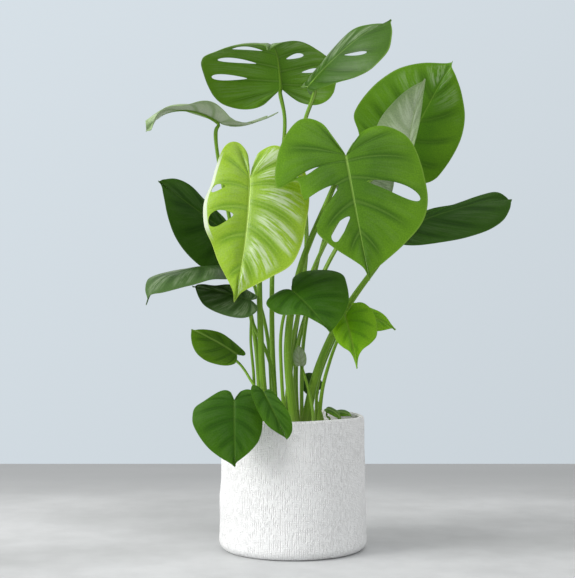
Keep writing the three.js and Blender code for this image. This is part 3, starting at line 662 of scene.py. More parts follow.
def tube(spine, radii, sides, groove, toward):
    """A round tube along a spine, with a groove: rings square to the spine, whose radius dips by
    a bell curve on the grooved side. Both ends close to a point.

    Each ring's first axis is the last ring's, less its part along the spine, so the groove doesn't
    wind round the tube."""
    tangents = unit(np.gradient(spine, axis=0))
    axis = np.asarray(toward, float)
    frames = []
    for tangent in tangents:
        axis = unit(axis - axis.dot(tangent) * tangent)
        frames.append(axis)
    first = np.array(frames)
    second = np.cross(tangents, first)
    angle = np.linspace(0, 2 * np.pi, sides + 1)
    away = np.minimum(angle, 2 * np.pi - angle)
    dip = 1 - groove * np.exp(-((away / 0.55) ** 2))
    ring = radii[:, None] * dip[None, :]
    points = (
        spine[:, None]
        + first[:, None] * (ring * np.cos(angle))[..., None]
        + second[:, None] * (ring * np.sin(angle))[..., None]
    )
    points[:, -1] = points[:, 0]
    length = np.concatenate([[0], np.cumsum(np.linalg.norm(np.diff(spine, axis=0), axis=1))])
    maps = np.stack(
        [
            np.broadcast_to(angle / (2 * np.pi), ring.shape),
            np.broadcast_to((length * MM * 10)[:, None], ring.shape),
        ],
        -1,
    )
    foot = np.broadcast_to(spine[0], points[:1].shape)
    end = np.broadcast_to(spine[-1], points[:1].shape)
    points = np.concatenate([foot, points, end])
    maps = np.concatenate([maps[:1], maps, maps[-1:]])
    return points, maps


def stalk_grid(leaf, sizes):
    """A stalk and the rib it becomes: an uneven curve from the soil up to the neck of the blade,
    then along the underside of the midrib, thinning out towards the tip."""
    stalk = leaf["stalk"]
    foot = np.array([*stalk["foot"], -3.0])
    rise = np.array([*stalk["foot"], 10.3])
    start, _, _, up = midrib(leaf, 0.0)
    steepest = max(0.0, *(-fold for fold in leaf["fold"]))
    droop = stalk["top"] * np.tan(np.radians(steepest))
    below = start - up * (1.5 + droop)
    rib_shares = np.array([0.045, 0.12, 0.25, 0.4, 0.55, 0.7, 0.82])
    spots, _, _, ups = midrib(leaf, rib_shares)
    rib = stalk["top"] * (0.82 * (1 - rib_shares) ** 1.3 + 0.06)
    depth = sizes.blade_thickness / MM + 0.62 * rib + 0.9 * (1 - rib_shares)
    under = spots - ups * (depth + tip_droop(leaf, rib_shares))[:, None]
    path = np.vstack([foot, rise, *stalk["via"], below - up * 10, below - up * NECK, under])
    dense = through(path, np.linspace(0, 1, 1600), even=False)
    length = np.concatenate([[0], np.cumsum(np.linalg.norm(np.diff(dense, axis=0), axis=1))])
    neck_at = length[np.argmin(np.linalg.norm(dense - (below - up * NECK), axis=1))]
    count = int(np.clip(length[-1] / 2.6, 24, 190))
    even = np.linspace(0, length[-1], count)
    spine = np.stack([np.interp(even, length, dense[:, k]) for k in range(3)], -1)
    share = np.clip(even / neck_at, 0, 1)
    radii = stalk["bottom"] + (stalk["top"] - stalk["bottom"]) * share
    radii = radii * (1 + 0.28 * np.exp(-((even / 26) ** 2)))
    knee = even - (neck_at - 15)
    radii = radii * (1 + 0.2 * np.exp(-((knee / 8) ** 2)) * min(1, leaf["length"] / 90))
    after = np.clip((even - neck_at) / (length[-1] - neck_at), 0, 1)
    radii = np.where(even > neck_at, stalk["top"] * (0.82 * (1 - after) ** 1.3 + 0.06), radii)
    radii = np.convolve(np.pad(radii, 2, mode="edge"), np.ones(5) / 5, mode="valid")
    toward = np.array([-spine[0, 0], -spine[0, 1], 0.0]) + 1e-3
    return tube(spine, radii, 18, 0.16, toward)


def pot_radius(height):
    """Radius of the pot's outer wall, which leans in evenly from the foot to the rim."""
    return POT_FOOT_RADIUS + (POT_RIM_RADIUS - POT_FOOT_RADIUS) * height / POT_HEIGHT


def pot_profile():
    """The pot's outline from the middle of its foot, over the rim, to the middle of its floor,
    as (radius, height, share of the wall's relief)."""
    angle = np.linspace(0, np.pi / 2, 9)
    foot_radius = pot_radius(FOOT_ROUNDING) - FOOT_ROUNDING * (1 - np.sin(angle))
    foot = np.stack([foot_radius, FOOT_ROUNDING * (1 - np.cos(angle))], -1)
    lip = POT_WALL / 2
    lip_height = POT_HEIGHT - lip
    lip_middle = pot_radius(lip_height) - lip
    wall_height = np.linspace(FOOT_ROUNDING, lip_height, 132)[1:-1]
    wall = np.stack([pot_radius(wall_height), wall_height], -1)
    turn = np.linspace(0, np.pi, 13)
    rim = np.stack([lip_middle + lip * np.cos(turn), lip_height + lip * np.sin(turn)], -1)
    inner_height = np.linspace(lip_height, POT_FLOOR, 16)[1:]
    inner = np.stack([pot_radius(inner_height) - POT_WALL, inner_height], -1)
    inner[-1, 0] = pot_radius(POT_FLOOR) - POT_WALL
    ends = np.array([[0.0, 0.0]]), np.array([[0.0, POT_FLOOR]])
    profile = np.concatenate([ends[0], foot, wall, rim, inner, ends[1]])
    share = np.zeros(len(profile))
    first = 1 + len(foot)
    share[first : first + len(wall)] = 1.0
    share[first - 4 : first] = np.linspace(0.2, 0.9, 4)
    share[first + len(wall) : first + len(wall) + 8] = np.linspace(1, 0.1, 8)
    return profile, share


def pot_grid(sizes):
    """The pot: its profile turned round the upright axis, the wall pushed in and out by slubs,
    random waves longer in height than round the pot, and by slow dents."""
    profile, share = pot_profile()
    turns = np.linspace(0, 1, 561)
    around, height = np.meshgrid(turns, profile[:, 1] / 100, indexing="xy")
    slubs = lumps(3, (40, 190, 15), around, height, turns=1)
    slow = lumps(4, (10, 5, 2), around, height, turns=1)
    push = sizes.weave / MM * (0.13 * slubs + 0.5 * slow) * share[:, None]
    radius = profile[:, :1] + push
    radius[0] = radius[-1] = 0.0
    angle = 2 * np.pi * around
    rise = np.broadcast_to(profile[:, 1:2], radius.shape) + 0.35 * lumps(
        9, (6, 5), around, turns=1
    ) * smoothstep(0.6, 1.0, profile[:, 1:2] / POT_HEIGHT) * (share[:, None] > 0)
    points = np.stack([radius * np.cos(angle), radius * np.sin(angle), rise], -1)
    points[:, -1] = points[:, 0]
    run = np.concatenate([[0], np.cumsum(np.linalg.norm(np.diff(profile, axis=0), axis=1))])
    girth = 2 * np.pi * POT_FOOT_RADIUS
    maps = np.stack([around * girth, np.broadcast_to(run[:, None], around.shape)], -1) * MM * 10
    return points, {"Weave": maps}


def soil_grid(sizes):
    """The soil: a disc whose surface is the sum of broad mounds and small crumbs, with a rim
    that drops straight down along the pot's inner wall to its floor."""
    radius_rim = pot_radius(SOIL_TOP) - POT_WALL - 0.3
    radius_low = pot_radius(POT_FLOOR) - POT_WALL - 0.3
    radii = np.concatenate([np.linspace(0, radius_rim, 90), [radius_low, 0.0]])
    turns = np.linspace(0, 1, 361)
    around, radius = np.meshgrid(turns, radii, indexing="xy")
    x, y = radius * np.cos(2 * np.pi * around), radius * np.sin(2 * np.pi * around)
    mounds = lumps(21, (14, 2.2, 2.2), x / 100, y / 100)
    crumbs = lumps(22, (40, 16, 16), x / 100, y / 100)
    fine = lumps(23, (40, 38, 38), x / 100, y / 100)
    depth = sizes.soil_lumps / MM
    top = SOIL_TOP - 0.8 * depth + depth * (0.3 * mounds + 0.35 * np.abs(crumbs) + 0.18 * fine)
    top[0] = top[0].mean()
    top[-2] = top[-1] = POT_FLOOR + 0.3
    points = np.stack([x, y, top], -1)
    points[:, -1] = points[:, 0]
    maps = np.stack([around, radius * MM * 10], -1)
    return points, {"Ground": maps}


# Finishes


class Finish:
    """A node material under construction: small helpers for the nodes that the recipes use."""

    def __init__(self, name):
        self.material = bpy.data.materials.new(name)
        self.material.use_nodes = True
        self.nodes = self.material.node_tree.nodes
        self.links = self.material.node_tree.links
        self.shader = self.nodes["Principled BSDF"]

    def put(self, socket, value):
        """A link where the value is a socket, and otherwise a plain value on the socket."""
        if isinstance(value, bpy.types.NodeSocket):
            self.links.new(value, socket)
        else:
            socket.default_value = value

    def node(self, kind, **values):
        """A node with its properties and, by name or place, its inputs."""
        made = self.nodes.new(kind)
        for key, value in values.items():
            if key.startswith("in_"):
                name = key[3:]
                socket = made.inputs[int(name) if name.isdigit() else name.replace("_", " ")]
                self.put(socket, value)
            else:
                setattr(made, key, value)
        return made

    def math(self, operation, a, b=0.0, c=0.0, clamp=False):
        """One sum of up to three values."""
        made = self.node(
            "ShaderNodeMath", operation=operation, use_clamp=clamp, in_0=a, in_1=b, in_2=c
        )
        return made.outputs[0]

    def smooth(self, value, low, high, out_low=0.0, out_high=1.0):
        """The value's smooth step from low to high."""
        made = self.node(
            "ShaderNodeMapRange",
            interpolation_type="SMOOTHSTEP",
            in_Value=value,
            in_1=low,
            in_2=high,
            in_3=out_low,
            in_4=out_high,
        )
        return made.outputs[0]

    def blend(self, share, a, b, mode="MIX"):
        """One colour over another by a share."""
        made = self.nodes.new("ShaderNodeMix")
        made.data_type = "RGBA"
        made.blend_type = mode
        made.clamp_result = False
        self.put(made.inputs[0], share)
        for socket, value in ((made.inputs[6], a), (made.inputs[7], b)):
            self.put(socket, value if isinstance(value, bpy.types.NodeSocket) else (*value, 1.0))
        return made.outputs[2]

    def chart(self, name):
        """The two coordinates of one of the piece's own maps."""
        chart = self.node("ShaderNodeUVMap", uv_map=name)
        parts = self.node("ShaderNodeSeparateXYZ", in_0=chart.outputs[0])
        return chart.outputs[0], parts.outputs[0], parts.outputs[1]

    def noise(self, vector, scale, detail=2.0, rough=0.5, stretch=None):
        """Smooth noise over a vector, its axes stretched first where asked."""
        if stretch:
            vector = self.node("ShaderNodeMapping", in_Vector=vector, in_Scale=stretch).outputs[0]
        made = self.node(
            "ShaderNodeTexNoise", in_Vector=vector, in_Scale=scale, in_Detail=detail, in_Roughness=rough
        )
        return made.outputs[0]

    def bump(self, height, depth, strength=1.0, under=None):
        """A bump whose height socket spans depth metres."""
        made = self.node("ShaderNodeBump", in_Height=height, in_Distance=depth, in_Strength=strength)
        if under is not None:
            self.links.new(under, made.inputs["Normal"])
        return made.outputs[0]

    def finish(self, colour, roughness, normal, **plain):
        """The finished material: what varies is linked, and plain values sit on their sockets."""
        self.put(self.shader.inputs["Base Color"], colour)
        self.put(self.shader.inputs["Roughness"], roughness)
        if normal is not None:
            self.links.new(normal, self.shader.inputs["Normal"])
        for key, value in plain.items():
            self.shader.inputs[key.replace("_", " ")].default_value = value
        return self.material


def leaf_finish(name, tints, gloss, face):
    """A blade's surface: green that lightens to the margin, channels along the lateral veins darkened
    as painted shade, a pale midrib that thins to the tip, a fine net of small veins, a painted sheen
    of pale grey-green streaks between the veins, and on some blades a painted highlight along the
    margin.

    u runs from one margin over the midrib to the other, and r from the midrib to either margin;
    vein is how far the nearest lateral vein is, as a share of the stretch between two veins."""
    body, edge, channel_shade, rib, margin = tints
    make = Finish(name)
    veins, u, count = make.chart("Veins")
    blade, across, along = make.chart("Blade")
    r = make.math("MULTIPLY", make.math("ABSOLUTE", make.math("SUBTRACT", u, 0.5)), 2.0)
    right = make.smooth(u, 0.49, 0.51)
    part = make.math("FRACT", make.math("ADD", count, 0.5))
    vein = make.math("ABSOLUTE", make.math("SUBTRACT", part, 0.5))
    place = make.node("ShaderNodeTexCoord").outputs["Object"]
    patch = make.smooth(make.noise(place, 22.0, 3.0), 0.38, 0.64)
    outward = make.smooth(r, 0.25, 1.0)
    tone = make.math("MULTIPLY_ADD", patch, 0.35, make.math("MULTIPLY", outward, 0.75), clamp=True)
    colour = make.blend(tone, body, edge)
    # Painted shade: the channels along the lateral veins are darkened, away from the margin
    channel_shade_mask = make.math("MULTIPLY", make.smooth(vein, 0.2, 0.03), make.smooth(r, 1.0, 0.55))
    colour = make.blend(make.math("MULTIPLY", channel_shade_mask, 0.75), colour, channel_shade)
    speck = make.noise(blade, 55.0, 3.0, 0.6)
    mottle = make.blend(make.smooth(speck, 0.3, 0.7), (0.7, 0.72, 0.7), (1.25, 1.2, 1.1))
    colour = make.blend(0.55, colour, mottle, "MULTIPLY")
    width = make.math("DIVIDE", 0.03, make.math("ADD", r, 0.35))
    line = make.smooth(make.math("DIVIDE", vein, width), 1.3, 0.35)
    line = make.math("MULTIPLY", line, make.smooth(r, 0.98, 0.5))
    plain = gloss["ribs"] if face else 1.0
    colour = make.blend(make.math("MULTIPLY", line, (0.22 if face else 0.35) * plain), colour, rib)
    apart = make.math("ABSOLUTE", across)
    thin = make.math("MULTIPLY_ADD", make.smooth(along, 0.0, 1.5), -0.011, 0.015)
    middle = make.smooth(make.math("DIVIDE", apart, thin), 1.35, 0.5)
    colour = make.blend(make.math("MULTIPLY", middle, 0.85 * plain), colour, rib)
    hem = make.smooth(r, 0.972, 0.99)
    colour = make.blend(make.math("MULTIPLY", hem, 0.55), colour, margin)
    # Painted sheen: pale grey-green streaks along the veins, in the middle of each stretch between
    # two of them, and more of it towards the tip
    left_sheen, right_sheen = gloss["painted_sheen"]
    painted_sheen = make.math("MULTIPLY_ADD", right, right_sheen - left_sheen, left_sheen)
    painted_sheen = make.math("MULTIPLY_ADD", make.smooth(along, 0.7, 1.3), gloss["tip"], painted_sheen)
    streak = make.smooth(make.noise(veins, 1.0, 3.0, 0.6, stretch=(3.4, 9.0, 1.0)), 0.4, 0.6)
    gap = make.math("MULTIPLY", make.smooth(vein, 0.08, 0.3), make.smooth(r, 0.08, 0.3))
    sheen_mask = make.math("MULTIPLY", make.math("MULTIPLY", streak, gap), make.smooth(r, 0.97, 0.8))
    colour = make.blend(make.math("MULTIPLY", sheen_mask, painted_sheen, clamp=True), colour, (0.56, 0.66, 0.45))
    # Painted highlight: a pale grey band along the margin of the right half, as a curled edge catching
    # the light
    if gloss["rolled"]:
        roll = make.math("MULTIPLY", make.smooth(r, 0.895, 0.925), right)
        start, stop = make.smooth(along, -0.4, -0.2), make.smooth(along, 0.9, 0.65)
        reach = make.math("MULTIPLY", start, stop)
        roll = make.math("MULTIPLY", make.math("MULTIPLY", roll, reach), gloss["rolled"])
        colour = make.blend(roll, colour, (0.66, 0.7, 0.62))
    rough = gloss["rough"] if face else gloss["rough"] + 0.14
    shine = make.smooth(make.noise(blade, 14.0, 3.0), 0.3, 0.7, rough - 0.06, rough + 0.06)
    cells = make.node(
        "ShaderNodeTexVoronoi", feature="DISTANCE_TO_EDGE", in_Vector=blade, in_Scale=42.0
    )
    net = make.smooth(cells.outputs["Distance"], 0.0, 0.12)
    normal = make.bump(net, 0.00012, 0.35)
    sunk = make.math("MAXIMUM", line, middle)
    normal = make.bump(sunk, -0.0004 if face else 0.0006, 0.45 * plain, normal)
    normal = make.bump(speck, 0.0002, 0.5, normal)
    level = gloss["specular"] if face else 0.15
    return make.finish(colour, shine, normal, IOR=1.45, Specular_IOR_Level=level)


def stalk_finish(colours):
    """Stalks: green with fine streaks along them, a paler stripe by the groove, and a pale foot."""
    make = Finish("stalk_skin")
    chart, around, along = make.chart("Stalk")
    streak = make.noise(chart, 6.0, 4.0, 0.6, stretch=(6.0, 0.35, 1.0))
    colour = make.blend(make.smooth(streak, 0.3, 0.7), colours.stalk, colours.stalk_streak)
    stripe = make.math("ABSOLUTE", make.math("SUBTRACT", around, 0.5))
    colour = make.blend(
        make.math("MULTIPLY", make.smooth(stripe, 0.4, 0.47), 0.55), colour, colours.stalk_light
    )
    foot = make.smooth(along, 0.45, 0.02)
    colour = make.blend(make.math("MULTIPLY", foot, 0.6), colour, colours.stalk_foot)
    place = make.node("ShaderNodeTexCoord").outputs["Object"]
    spots = make.noise(place, 420.0, 2.0)
    colour = make.blend(make.smooth(spots, 0.62, 0.74, 0.0, 0.35), colour, colours.stalk_light)
    normal = make.bump(streak, 0.0004, 0.5)
    normal = make.bump(spots, 0.0001, 0.4, normal)
    rough = make.smooth(streak, 0.2, 0.8, 0.42, 0.58)
    return make.finish(colour, rough, normal, IOR=1.45, Specular_IOR_Level=0.25)


def glaze_finish(colours):
    """The pot: matt white glaze over a coarse cloth print, upright threads broken into dashes,
    with finer cross threads between them. The glaze is darker between the threads as painted
    shade in the print's hollows, and darker in dusty patches."""
    make = Finish("pot_glaze")
    chart, around, run = make.chart("Weave")
    wander = make.noise(chart, 3.2, 3.0, 0.55)
    shifted = make.math("MULTIPLY_ADD", make.math("SUBTRACT", wander, 0.5), 0.045, around)
    thread = make.math("SINE", make.math("MULTIPLY", shifted, 2 * np.pi / 0.03))
    thread = make.smooth(thread, -0.9, 0.9)
    dashes = make.noise(chart, 26.0, 2.0, 0.5, stretch=(1.15, 0.42, 1.0))
    gate = make.smooth(dashes, 0.4, 0.62)
    lowered = make.math("MULTIPLY_ADD", make.math("SUBTRACT", wander, 0.5), 0.05, run)
    weft = make.math("SINE", make.math("MULTIPLY", lowered, 2 * np.pi / 0.022))
    weft = make.smooth(weft, -0.8, 0.9)
    patchy = make.smooth(make.noise(chart, 1.6, 2.0), 0.35, 0.65, 0.65, 1.0)
    cloth = make.math("MULTIPLY", make.math("MULTIPLY", thread, gate), patchy)
    cloth = make.math("MULTIPLY_ADD", weft, 0.22, cloth)
    grain = make.noise(chart, 90.0, 3.0, 0.6)
    normal = make.bump(cloth, 0.0011, 0.95)
    normal = make.bump(grain, 0.00025, 0.5, normal)
    # Painted shade: darker glaze where the cloth relief is low, between the threads
    colour = make.blend(make.smooth(cloth, 0.0, 1.0, 0.0, 1.0), colours.glaze_shade_and_dust, colours.glaze)
    place = make.node("ShaderNodeTexCoord").outputs["Object"]
    dust = make.smooth(make.noise(place, 9.0, 3.0), 0.4, 0.75, 0.0, 0.35)
    colour = make.blend(dust, colour, colours.glaze_shade_and_dust)
    return make.finish(colour, make.smooth(grain, 0.3, 0.7, 0.58, 0.74), normal, IOR=1.45)


def soil_finish(colours):
    """Potting soil: dark brown crumbs with lighter fibres and bits of bark."""
    make = Finish("potting_soil")
    place = make.node("ShaderNodeTexCoord").outputs["Object"]
    crumbs = make.noise(place, 160.0, 5.0, 0.65)
    bits = make.node("ShaderNodeTexVoronoi", in_Vector=place, in_Scale=190.0)
    colour = make.blend(make.smooth(crumbs, 0.35, 0.68), colours.soil, colours.soil_light)
    chance = make.node("ShaderNodeSeparateColor", in_0=bits.outputs["Color"]).outputs[0]
    colour = make.blend(make.smooth(chance, 0.86, 0.9, 0.0, 0.7), colour, colours.soil_bark)
    normal = make.bump(crumbs, 0.003, 0.9)
    normal = make.bump(bits.outputs["Distance"], 0.002, 0.5, normal)
    return make.finish(colour, make.smooth(crumbs, 0.3, 0.7, 0.85, 1.0), normal)


def floor_finish(colours):
    """A smoothed concrete floor: pale grey with broad cloudy patches, drawn out sideways, and
    darker towards the backdrop as painted shade.
    """
    make = Finish("stage_floor")
    place = make.node("ShaderNodeTexCoord").outputs["Object"]
    broad = make.noise(place, 2.3, 2.5, 0.5, stretch=(0.7, 1.25, 1.0))
    small = make.noise(place, 17.0, 4.0, 0.6)
    colour = make.blend(make.smooth(broad, 0.33, 0.66), colours.floor_dark, colours.floor)
    tint = make.blend(make.smooth(small, 0.3, 0.7), (0.95, 0.95, 0.95), (1.04, 1.04, 1.04))
    colour = make.blend(1.0, colour, tint, "MULTIPLY")
    # Painted shade: the floor darkens towards the backdrop, where less light falls
    away = make.node("ShaderNodeSeparateXYZ", in_0=place).outputs[1]
    colour = make.blend(make.smooth(away, 0.3, 0.75), colour, colours.floor_far_shade)
    normal = make.bump(small, 0.0006, 0.4)
    return make.finish(colour, make.smooth(broad, 0.3, 0.7, 0.55, 0.75), normal)


def colour(name, description, default):
    """A colour property."""
    return bpy.props.FloatVectorProperty(
        name=name, description=description, default=default,
        subtype="COLOR", size=3, min=0.0, max=1.0,
    )


def length(name, description, default):
    """A length property, in metres."""
    return bpy.props.FloatProperty(
        name=name, description=description, default=default, min=0.0, unit="LENGTH", precision=4
    )


class PlantSizes(bpy.types.PropertyGroup):
    """Sizes a user may change."""

    blade_thickness: length("Blade thickness", "Thickness of every leaf blade", 0.0006)
    quilting: length("Quilting", "Swelling of a blade between its lateral veins", 0.0016)
    margin_wave: length("Margin wave", "Rise and fall of the blades' margins", 0.0022)
    weave: length("Cloth relief", "Depth of the slubs in the pot's wall", 0.0007)
    soil_lumps: length("Soil lumps", "Height of the soil's mounds and crumbs", 0.004)


class PlantColours(bpy.types.PropertyGroup):
    """Colours a user may change."""

    stalk: colour("Stalk", "Stalks between the streaks", (0.105, 0.25, 0.014))
    stalk_streak: colour("Stalk streak", "Fine streaks along the stalks", (0.23, 0.41, 0.035))
    stalk_light: colour("Stalk stripe", "Pale stripe by the stalk's groove", (0.4, 0.55, 0.16))
    stalk_foot: colour("Stalk foot", "Stalks where they leave the soil", (0.33, 0.42, 0.12))
    glaze: colour("Glaze", "The pot's glaze on the threads", (0.92, 0.92, 0.915))
    # Painted shade between the threads, also the colour of the dust patches
    glaze_shade_and_dust: colour("Glaze in hollows", "The pot's glaze between the threads", (0.84, 0.845, 0.845))
    soil: colour("Soil", "Potting soil", (0.018, 0.012, 0.008))
    soil_light: colour("Soil crumbs", "Dry crumbs of the soil", (0.09, 0.055, 0.034))
    soil_bark: colour("Bark", "Bits of bark in the soil", (0.2, 0.13, 0.075))
    floor: colour("Floor", "The floor's lighter patches", (0.6, 0.61, 0.615))
    floor_dark: colour("Floor patches", "The floor's darker patches", (0.43, 0.44, 0.44))
    # Painted shade of the floor towards the backdrop
    floor_far_shade: colour("Far floor", "The floor towards the backdrop", (0.36, 0.37, 0.375))
    backdrop: colour("Backdrop", "The plain light backdrop", (0.63, 0.695, 0.745))


# Each leaf finish: the face's tints, then the underside's. The tints are the body between veins,
# the outer parts, the painted shade darkening the channels along the veins, the midrib and veins,
# and the margin.
LEAF_TINTS = {
    "bright": (
        (
            (0.2, 0.36, 0.009), (0.275, 0.455, 0.018), (0.11, 0.25, 0.005),
            (0.42, 0.6, 0.09), (0.42, 0.56, 0.1),
        ),
        (
            (0.3, 0.44, 0.06), (0.36, 0.5, 0.1), (0.2, 0.34, 0.04),
            (0.5, 0.62, 0.2), (0.5, 0.6, 0.2),
        ),
    ),
    "fresh": (
        (
            (0.11, 0.31, 0.003), (0.2, 0.44, 0.007), (0.08, 0.24, 0.002),
            (0.22, 0.38, 0.03), (0.2, 0.34, 0.04),
        ),
        (
            (0.15, 0.29, 0.03), (0.2, 0.35, 0.05), (0.11, 0.22, 0.02),
            (0.3, 0.43, 0.1), (0.26, 0.39, 0.08),
        ),
    ),
    "mid": (
        (
            (0.052, 0.14, 0.007), (0.1, 0.235, 0.008), (0.03, 0.095, 0.005),
            (0.22, 0.37, 0.06), (0.17, 0.3, 0.04),
        ),
        (
            (0.09, 0.2, 0.025), (0.12, 0.25, 0.03), (0.06, 0.15, 0.02),
            (0.25, 0.4, 0.09), (0.2, 0.33, 0.07),
        ),
    ),
    # Painted sheen: the streaks of this finish are the painted sheen of its left half, set in its gloss
    # entry
    "sheen_streaked": (
        (
            (0.034, 0.1, 0.004), (0.046, 0.125, 0.004), (0.022, 0.07, 0.002),
            (0.14, 0.24, 0.04), (0.17, 0.3, 0.04),
        ),
        (
            (0.09, 0.2, 0.025), (0.12, 0.25, 0.03), (0.06, 0.15, 0.02),
            (0.25, 0.4, 0.09), (0.2, 0.33, 0.07),
        ),
    ),
    "deep": (
        (
            (0.055, 0.14, 0.014), (0.085, 0.2, 0.014), (0.04, 0.1, 0.01),
            (0.2, 0.34, 0.07), (0.18, 0.3, 0.06),
        ),
        (
            (0.12, 0.28, 0.02), (0.155, 0.335, 0.022), (0.072, 0.19, 0.01),
            (0.24, 0.4, 0.08), (0.22, 0.36, 0.08),
        ),
    ),
    "tall": (
        (
            (0.055, 0.16, 0.004), (0.095, 0.235, 0.006), (0.036, 0.11, 0.003),
            (0.16, 0.3, 0.03), (0.2, 0.34, 0.05),
        ),
        (
            (0.09, 0.21, 0.02), (0.12, 0.26, 0.03), (0.06, 0.15, 0.015),
            (0.26, 0.4, 0.1), (0.2, 0.32, 0.08),
        ),
    ),
    # Painted sheen: the grey finish is a lighter, greyer copy of the green, for a leaf that reflects
    # the light
    "grey": (
        (
            (0.34, 0.43, 0.28), (0.24, 0.36, 0.15), (0.18, 0.28, 0.12),
            (0.26, 0.38, 0.15), (0.24, 0.36, 0.13),
        ),
        (
            (0.5, 0.58, 0.44), (0.34, 0.46, 0.24), (0.3, 0.41, 0.22),
            (0.3, 0.43, 0.16), (0.25, 0.37, 0.13),
        ),
    ),
    # Painted sheen: the pale finish is a lighter, greyer copy of the green, for leaves that reflect the
    # light
    "pale": (
        (
            (0.38, 0.46, 0.32), (0.25, 0.37, 0.16), (0.27, 0.36, 0.2),
            (0.34, 0.46, 0.22), (0.3, 0.42, 0.18),
        ),
        (
            (0.22, 0.3, 0.17), (0.23, 0.32, 0.17), (0.15, 0.22, 0.1),
            (0.38, 0.48, 0.28), (0.34, 0.44, 0.24),
        ),
    ),
    "dark": (
        (
            (0.018, 0.06, 0.004), (0.028, 0.085, 0.005), (0.011, 0.041, 0.003),
            (0.07, 0.14, 0.02), (0.06, 0.13, 0.02),
        ),
        (
            (0.035, 0.085, 0.012), (0.05, 0.11, 0.018), (0.025, 0.065, 0.01),
            (0.1, 0.18, 0.05), (0.09, 0.16, 0.04),
        ),
    ),
    # Painted sheen: a dark green with a greyer cast and more painted sheen than the dark finish
    "sheen_dark": (
        (
            (0.038, 0.09, 0.018), (0.055, 0.12, 0.026), (0.024, 0.064, 0.01),
            (0.08, 0.15, 0.03), (0.08, 0.15, 0.03),
        ),
        (
            (0.05, 0.1, 0.03), (0.07, 0.13, 0.04), (0.035, 0.08, 0.02),
            (0.12, 0.2, 0.06), (0.1, 0.17, 0.05),
        ),
    ),
    "shade": (
        (
            (0.026, 0.09, 0.004), (0.044, 0.13, 0.005), (0.017, 0.064, 0.003),
            (0.085, 0.18, 0.02), (0.08, 0.17, 0.02),
        ),
        (
            (0.045, 0.11, 0.015), (0.065, 0.14, 0.02), (0.035, 0.085, 0.012),
            (0.13, 0.22, 0.06), (0.11, 0.19, 0.04),
        ),
    ),
}

# How each finish shines: its roughness and specular level, the painted sheen, a pale grey-green
# laid between the veins of its left and right halves and towards its tip, how plain its veins are,
# and how strong the painted highlight along the margin of its right half is.
LEAF_GLOSS = {
    "bright": {
        "rough": 0.3, "specular": 0.4, "painted_sheen": (0.7, 0.06), "tip": 0.0, "ribs": 1.0, "rolled": 0.75,
    },
    "fresh": {
        "rough": 0.45, "specular": 0.15, "painted_sheen": (0.0, 0.03), "tip": 0.0, "ribs": 0.6, "rolled": 0.0,
    },
    "mid": {
        "rough": 0.45, "specular": 0.14, "painted_sheen": (0.02, 0.02), "tip": 0.0, "ribs": 0.8, "rolled": 0.0,
    },
    "sheen_streaked": {
        "rough": 0.4, "specular": 0.3, "painted_sheen": (0.26, 0.03), "tip": 0.0, "ribs": 0.5, "rolled": 0.0,
    },
    "deep": {
        "rough": 0.42, "specular": 0.25, "painted_sheen": (0.16, 0.1), "tip": 0.2, "ribs": 0.8, "rolled": 0.0,
    },
    "tall": {
        "rough": 0.45, "specular": 0.14, "painted_sheen": (0.03, 0.0), "tip": 0.22, "ribs": 0.5, "rolled": 0.0,
    },
    "grey": {
        "rough": 0.38, "specular": 0.35, "painted_sheen": (0.5, 0.5), "tip": 0.0, "ribs": 0.6, "rolled": 0.0,
    },
    "pale": {
        "rough": 0.42, "specular": 0.3, "painted_sheen": (0.45, 0.45), "tip": 0.0, "ribs": 0.6, "rolled": 0.0,
    },
    "dark": {
        "rough": 0.42, "specular": 0.14, "painted_sheen": (0.015, 0.03), "tip": 0.0, "ribs": 0.4, "rolled": 0.0,
    },
    "sheen_dark": {
        "rough": 0.38, "specular": 0.25, "painted_sheen": (0.15, 0.2), "tip": 0.0, "ribs": 0.4, "rolled": 0.0,
    },
    "shade": {
        "rough": 0.45, "specular": 0.1, "painted_sheen": (0.02, 0.02), "tip": 0.0, "ribs": 0.4, "rolled": 0.0,
    },
}


def sizes():
    """The scene's plant sizes."""
    return bpy.context.scene.plant_sizes


def colours():
    """The scene's plant colours."""
    return bpy.context.scene.plant_colours


class PLANT_OT_blades(bpy.types.Operator):
    """Add every leaf blade with its face and underside finishes."""

    bl_idname = "plant.add_blades"
    bl_label = "Leaf blades"

    def execute(self, context):
        finishes = {
            name: (
                leaf_finish(f"leaf_{name}_face", tints[0], LEAF_GLOSS[name], True),
                leaf_finish(f"leaf_{name}_underside", tints[1], LEAF_GLOSS[name], False),
            )
            for name, tints in LEAF_TINTS.items()
        }
        for leaf in LEAVES:
            grids = [
                (points, maps, side < 0, 0)
                for side in (-1, 1)
                for points, maps in blade_half(leaf, side, sizes())
            ]
            piece = new_piece(f"blade_{leaf['name']}", grids, finishes[leaf["finish"]], keep_sharp=True)
            piece.data.transform(above_soil())
            wall = piece.modifiers.new("Thickness", "SOLIDIFY")
            wall.thickness = sizes().blade_thickness
            wall.offset = -1.0
            wall.material_offset = 1
            wall.use_quality_normals = True
            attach(piece, "root")
            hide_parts(f"leaf_{leaf['name']}")
        return {"FINISHED"}


class PLANT_OT_stalks(bpy.types.Operator):
    """Add every stalk together with the rib that it becomes under its blade."""

    bl_idname = "plant.add_stalks"
    bl_label = "Stalks"

    def execute(self, context):
        skin = stalk_finish(colours())
        for leaf in LEAVES:
            points, maps = stalk_grid(leaf, sizes())
            piece = new_piece(f"stalk_{leaf['name']}", [(points, {"Stalk": maps}, False, 0)], [skin])
            piece.data.transform(above_soil())
            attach(piece, "root")
            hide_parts(f"petiole_{leaf['name']}")
        return {"FINISHED"}


